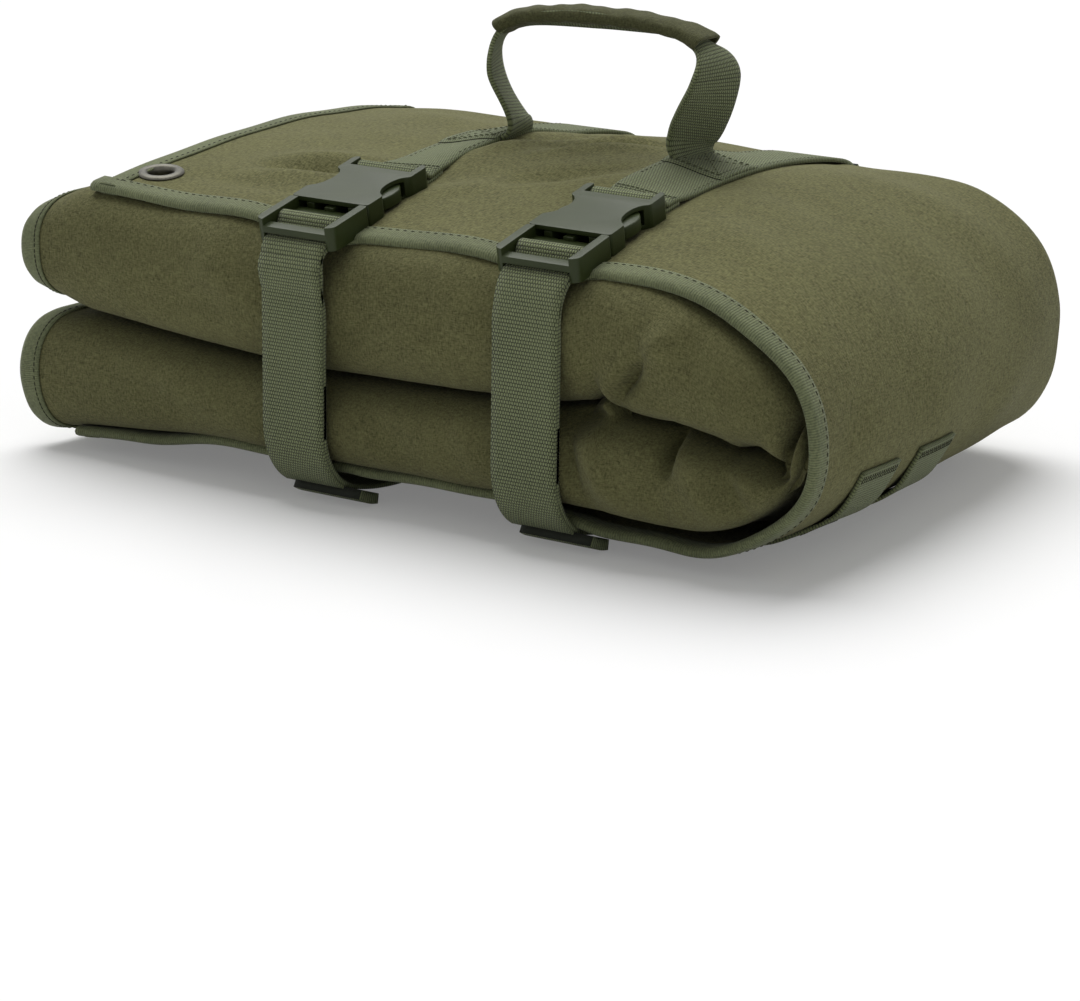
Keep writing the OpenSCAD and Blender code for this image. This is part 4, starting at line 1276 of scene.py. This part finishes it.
def webbing_loop(name, first, last, steps):
    def place(u, v):
        share = first + v * (last - first)
        centre, wide, face = loop_frame(share, loop_twist(share))
        narrow = ease(share, SLEEVE_FROM - 0.07, SLEEVE_FROM + 0.02)
        narrow = narrow * (1 - ease(share, SLEEVE_TO - 0.02, SLEEVE_TO + 0.07))
        from_end = np.minimum(share, 1 - share)
        width = WEB_W * (1 - 0.52 * narrow) * (1 - 0.16 * (1 - ease(from_end, 0.03, 0.12)))
        curl = 2.2 * narrow * (4 * (u - 0.5) ** 2)
        return centre + wide * ((u - 0.5) * width)[:, None] - face * curl[:, None]

    obj = cloth_grid(name, 10, steps, place, (WEB_W, LOOP_LENGTH * (last - first)), 1.7, None, 0.0)
    return paint(obj, WEBBING)


for side, first, last, low_x, high_x in (("right", 0.0, 0.2155, 0.046, 0.049),
                                         ("left", 0.7845, 1.0, -0.024, -0.027)):
    leg = webbing_loop("handle_leg_web_" + side, first, last, 50)
    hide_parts("handle_leg_" + side)
    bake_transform(leg)
grip = webbing_loop("handle_grip_web", 0.2145, 0.7855, 110)
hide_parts("handle_grip")
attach(grip, "handle")


def sleeve_place(u, v):
    share = SLEEVE_FROM + v * (SLEEVE_TO - SLEEVE_FROM)
    centre, wide, face = loop_frame(share, 0 * share)
    turn = u * 2 * math.pi
    flare = np.exp(-(v / 0.06) ** 2) + np.exp(-((1 - v) / 0.06) ** 2)
    half_w = 6.9 + 1.3 * flare + 0.2 * np.sin(v * 31.0 + 1.0)
    half_t = 3.0 + 0.3 * flare + 0.15 * np.sin(v * 23.0)
    crease = 0.35 * np.sin(turn * 3 + v * 17.0) * np.sin(v * 41.0 + 0.8)
    a, b = bow(np.cos(turn), 0.75) * half_w, bow(np.sin(turn), 0.75) * (half_t + crease)
    return centre + wide * a[:, None] + face * b[:, None]


sleeve = mended(cloth_grid("handle_sleeve_cloth", 44, 90, sleeve_place, (40.0, 130.0)))
wall = sleeve.modifiers.new("wall", "SOLIDIFY")
wall.thickness, wall.offset = 0.0009, -1.0
apply_all(sleeve)
smooth(sleeve)
paint(sleeve, SLEEVE_CANVAS_PAINTED_SHADE)
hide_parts("handle_sleeve")
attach(sleeve, "handle")

for side, x in STRAPS.items():
    lifts = [0.3, 0.95, 1.1, 1.1, 1.1, 1.1, 0.95, 0.3]
    tab = ribbon("handle_foot_" + side, on_crown(np.linspace(-4, 23, 8), lifts), x, 24, 24.6)
    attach(tab, "root")
    marks = []
    for a in np.linspace(-9.5, 9.5, 9):
        marks += [(a, -1.5, 1, 0), (a, 19.5, 1, 0)]
    for y in np.arange(0, 19, 2.2):
        marks += [(-9.8, y, 0, 1), (9.8, y, 0, 1)]
    for k in np.linspace(0.08, 0.92, 10):
        marks += [(-9.5 + 19 * k, -1 + 20 * k, 19, 20), (9.5 - 19 * k, -1 + 20 * k, -19, 20)]
    web_stitches("handle_foot_stitches_" + side, side, marks, ANCHOR_OUT + 1.98)
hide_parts("handle_feet_tabs")


# Loop strips on the spine and the underside

def loop_strip(name, depth, start, stop, tacks):
    mid = depth - FLAP_FRONT
    tacks = np.asarray(tacks, float)

    def place(u, v):
        s = start + v * (stop - start)
        near = np.min(np.abs(s[:, None] - tacks[None]), axis=1)
        lift = 0.95 + 1.1 * ease(near, 2, 16)
        return flap_skin(s, mid + (u - 0.5) * WEB_W, lift)

    obj = cloth_grid(name, 8, int(abs(stop - start) / 2), place, (WEB_W, abs(stop - start)), 1.3, None, 0.0)
    paint(obj, WEBBING)
    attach(obj, "root")
    s, t = [], []
    for tack in tacks:
        for across in np.linspace(-11.2, 11.2, 16):
            for shift in (-0.7, 0.7):
                s.append(tack + shift)
                t.append(mid + across)
    s, t = np.array(s), np.array(t)
    low, high = flap_skin(s, t, 1.65), flap_skin(s, t, 2.65)
    seam(name + "_tacks", low, flap_skin(s + 1.0, t, 1.65) - low, high - low, 1.0)
    return obj


for k, depth in enumerate((-51.5, -11.0)):
    head_s = FLAP.near(158.5, 33.5)
    tail_s = FLAP.base(38)
    strip = loop_strip("loop_strip_round_spine_%d" % (k + 1), depth, tail_s, head_s,
                       np.linspace(tail_s - 3, head_s + 3, 5))
    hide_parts("loop_strip_spine_%d" % (k + 1))
    a, b = FLAP.base(-120), FLAP.base(28)
    strip = loop_strip("loop_strip_under_base_%d" % (k + 1), depth, a, b, np.linspace(a - 3, b + 3, 5))
    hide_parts("loop_strip_base_%d" % (k + 1))


# Eyelets

def turned(name, profile, centre, axis):
    """A piece turned round an axis from a profile of radius and height points."""
    ring = np.array(list(profile) + [profile[0]], float)
    index = np.linspace(0, 1, len(ring))
    up = np.asarray(axis, float) / np.linalg.norm(axis)
    side = np.cross(up, (0, 1, 0.001))
    side /= np.linalg.norm(side)
    other = np.cross(up, side)

    def place(u, v):
        r, h = np.interp(v, index, ring[:, 0]), np.interp(v, index, ring[:, 1])
        a = u * 2 * math.pi
        return (np.asarray(centre) + side * (r * np.cos(a))[:, None] + other * (r * np.sin(a))[:, None]
                + up * h[:, None])

    obj = smooth(mended(cloth_grid(name, 56, len(ring) - 1, place, (50, 20))))
    paint(obj, NICKEL)
    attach(obj, "root")
    return obj


RIM = [(8.5, 0.1), (8.45, 0.5), (7.9, 1.0), (6.8, 1.35), (5.7, 1.2), (4.9, 0.6), (4.55, -0.4), (4.5, -2.4),
       (4.7, -2.9), (5.0, -2.6), (5.1, -0.6), (5.6, 0.05), (7.0, 0.1)]
WASHER = [(8.6, -2.05), (8.5, -2.5), (7.4, -2.9), (6.2, -2.95), (5.3, -2.7), (5.2, -2.1), (6.8, -2.02)]
HOLE_R = 4.8
# Places of the eyelets in the flap and in the end flap, and the flatter rim of the latter
EYELET_X, EYELET_IN = -123.0, 20.5
END_EYELET_X, END_EYELET_IN = -138.0, 31.4
END_EYELET_FLAT = 0.6


def eyelet(cloth, rim_name, washer_name, face, axis, flat, above, below):
    """A rolled rim with its washer behind, and the hole that they line."""
    hole = [(HOLE_R, above), (HOLE_R, below), (0.01, below), (0.01, above)]
    rim = turned(rim_name, [(r, flat * h) for r, h in RIM], face, axis)
    washer = turned(washer_name, [(r, flat * h) for r, h in WASHER], face, axis)
    combine(cloth, turned("eyelet_hole", hole, face, axis), "DIFFERENCE")
    smooth(cloth)
    return rim, washer


def one_point(skin_at, a, b, *lift):
    return skin_at(np.array([a]), np.array([b]), *(np.array([h]) for h in lift))[0]


for k, s in enumerate((FLAP.top(EYELET_X), FLAP.base(EYELET_X))):
    low, high = (one_point(flap_skin, s, EYELET_IN, h) for h in (0.0, 1.0))
    eyelet(flap, "corner_eyelet_%d" % (k + 1), "eyelet_washer_%d" % (k + 1),
                        low, high - low, 1.0, 3.0, -6.0)
for k, s in enumerate((ROLL.top(END_EYELET_X), ROLL.base(END_EYELET_X))):
    v = LEG_SHARE * (1 - END_EYELET_IN / ROLL_BACK)
    face, behind = (one_point(roll_skin, s, v, h, END_INSET) for h in (-THIN_WALL, 0.0))
    eyelet(end_flaps[k], "end_flap_eyelet_%d" % (k + 1), "end_flap_washer_%d" % (k + 1),
                        face, face - behind, END_EYELET_FLAT, 2.0, -2.0)
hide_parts("eyelets")
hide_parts("eyelet_washers")
(FLAP_S1 - FLAP_S0) * MM

# Floor, lamps and backdrop

bpy.context.scene.view_settings.view_transform = "Standard"
# Brightness of the floor as it lights the object, as it is seen, and of its glow when seen
FLOOR_LIT, FLOOR_SEEN, FLOOR_GLOW = 0.84, 0.79, 0.18
# Strength of the backdrop as it lights the object and as it is seen
SKY_LIT, SKY_SEEN = 0.28, 1.0
# The lamp's strength, its width and its two tilts, in degrees
LAMP, LAMP_WIDTH, LAMP_TILT = 2.66, 54, -16
SEEN_RAYS = ("Is Camera Ray", "Is Glossy Ray", "Is Transmission Ray")


def grey(level):
    return (level, level, level, 1)


def studio():
    deselect()
    bpy.ops.mesh.primitive_plane_add(size=30.0, location=(0, 0, 0))
    floor = named("studio_floor")
    f = Finish("studio_white", Roughness=0.9, Specular_IOR_Level=0.1, Emission_Strength=1.0)
    path = f.tree.nodes.new("ShaderNodeLightPath")
    first, second, third = (Wire(f, path.outputs[ray]) for ray in SEEN_RAYS)
    seen = first.top(second).top(third)
    f.set("Base Color", f.mix(seen, grey(FLOOR_LIT), grey(FLOOR_SEEN)))
    f.set("Emission Color", f.mix(seen, grey(0), grey(FLOOR_GLOW)))
    floor.data.materials.append(f.material)
    floor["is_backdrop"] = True
    world = bpy.data.worlds.new("studio_light")
    bpy.context.scene.world = world
    world.use_nodes = True
    tree = world.node_tree
    plain, seen = tree.nodes["Background"], tree.nodes.new("ShaderNodeBackground")
    for sky, strength in ((plain, SKY_LIT), (seen, SKY_SEEN)):
        sky.inputs[0].default_value, sky.inputs[1].default_value = grey(1), strength
    path = tree.nodes.new("ShaderNodeLightPath")
    share = path.outputs[SEEN_RAYS[0]]
    for ray in SEEN_RAYS[1:]:
        add = tree.nodes.new("ShaderNodeMath")
        add.operation, add.use_clamp = "ADD", True
        tree.links.new(share, add.inputs[0])
        tree.links.new(path.outputs[ray], add.inputs[1])
        share = add.outputs[0]
    mix = tree.nodes.new("ShaderNodeMixShader")
    for k, end in enumerate((share, plain.outputs[0], seen.outputs[0])):
        tree.links.new(end, mix.inputs[k])
    tree.links.new(mix.outputs[0], tree.nodes["World Output"].inputs[0])
    data = bpy.data.lights.new("key_lamp", "SUN")
    data.energy, data.angle = LAMP, math.radians(LAMP_WIDTH)
    lamp = bpy.data.objects.new("key_lamp", data)
    lamp.rotation_euler = (math.radians(LAMP_TILT), math.radians(LAMP_TILT), 0.0)
    bpy.context.scene.collection.objects.link(lamp)


studio()

low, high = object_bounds()
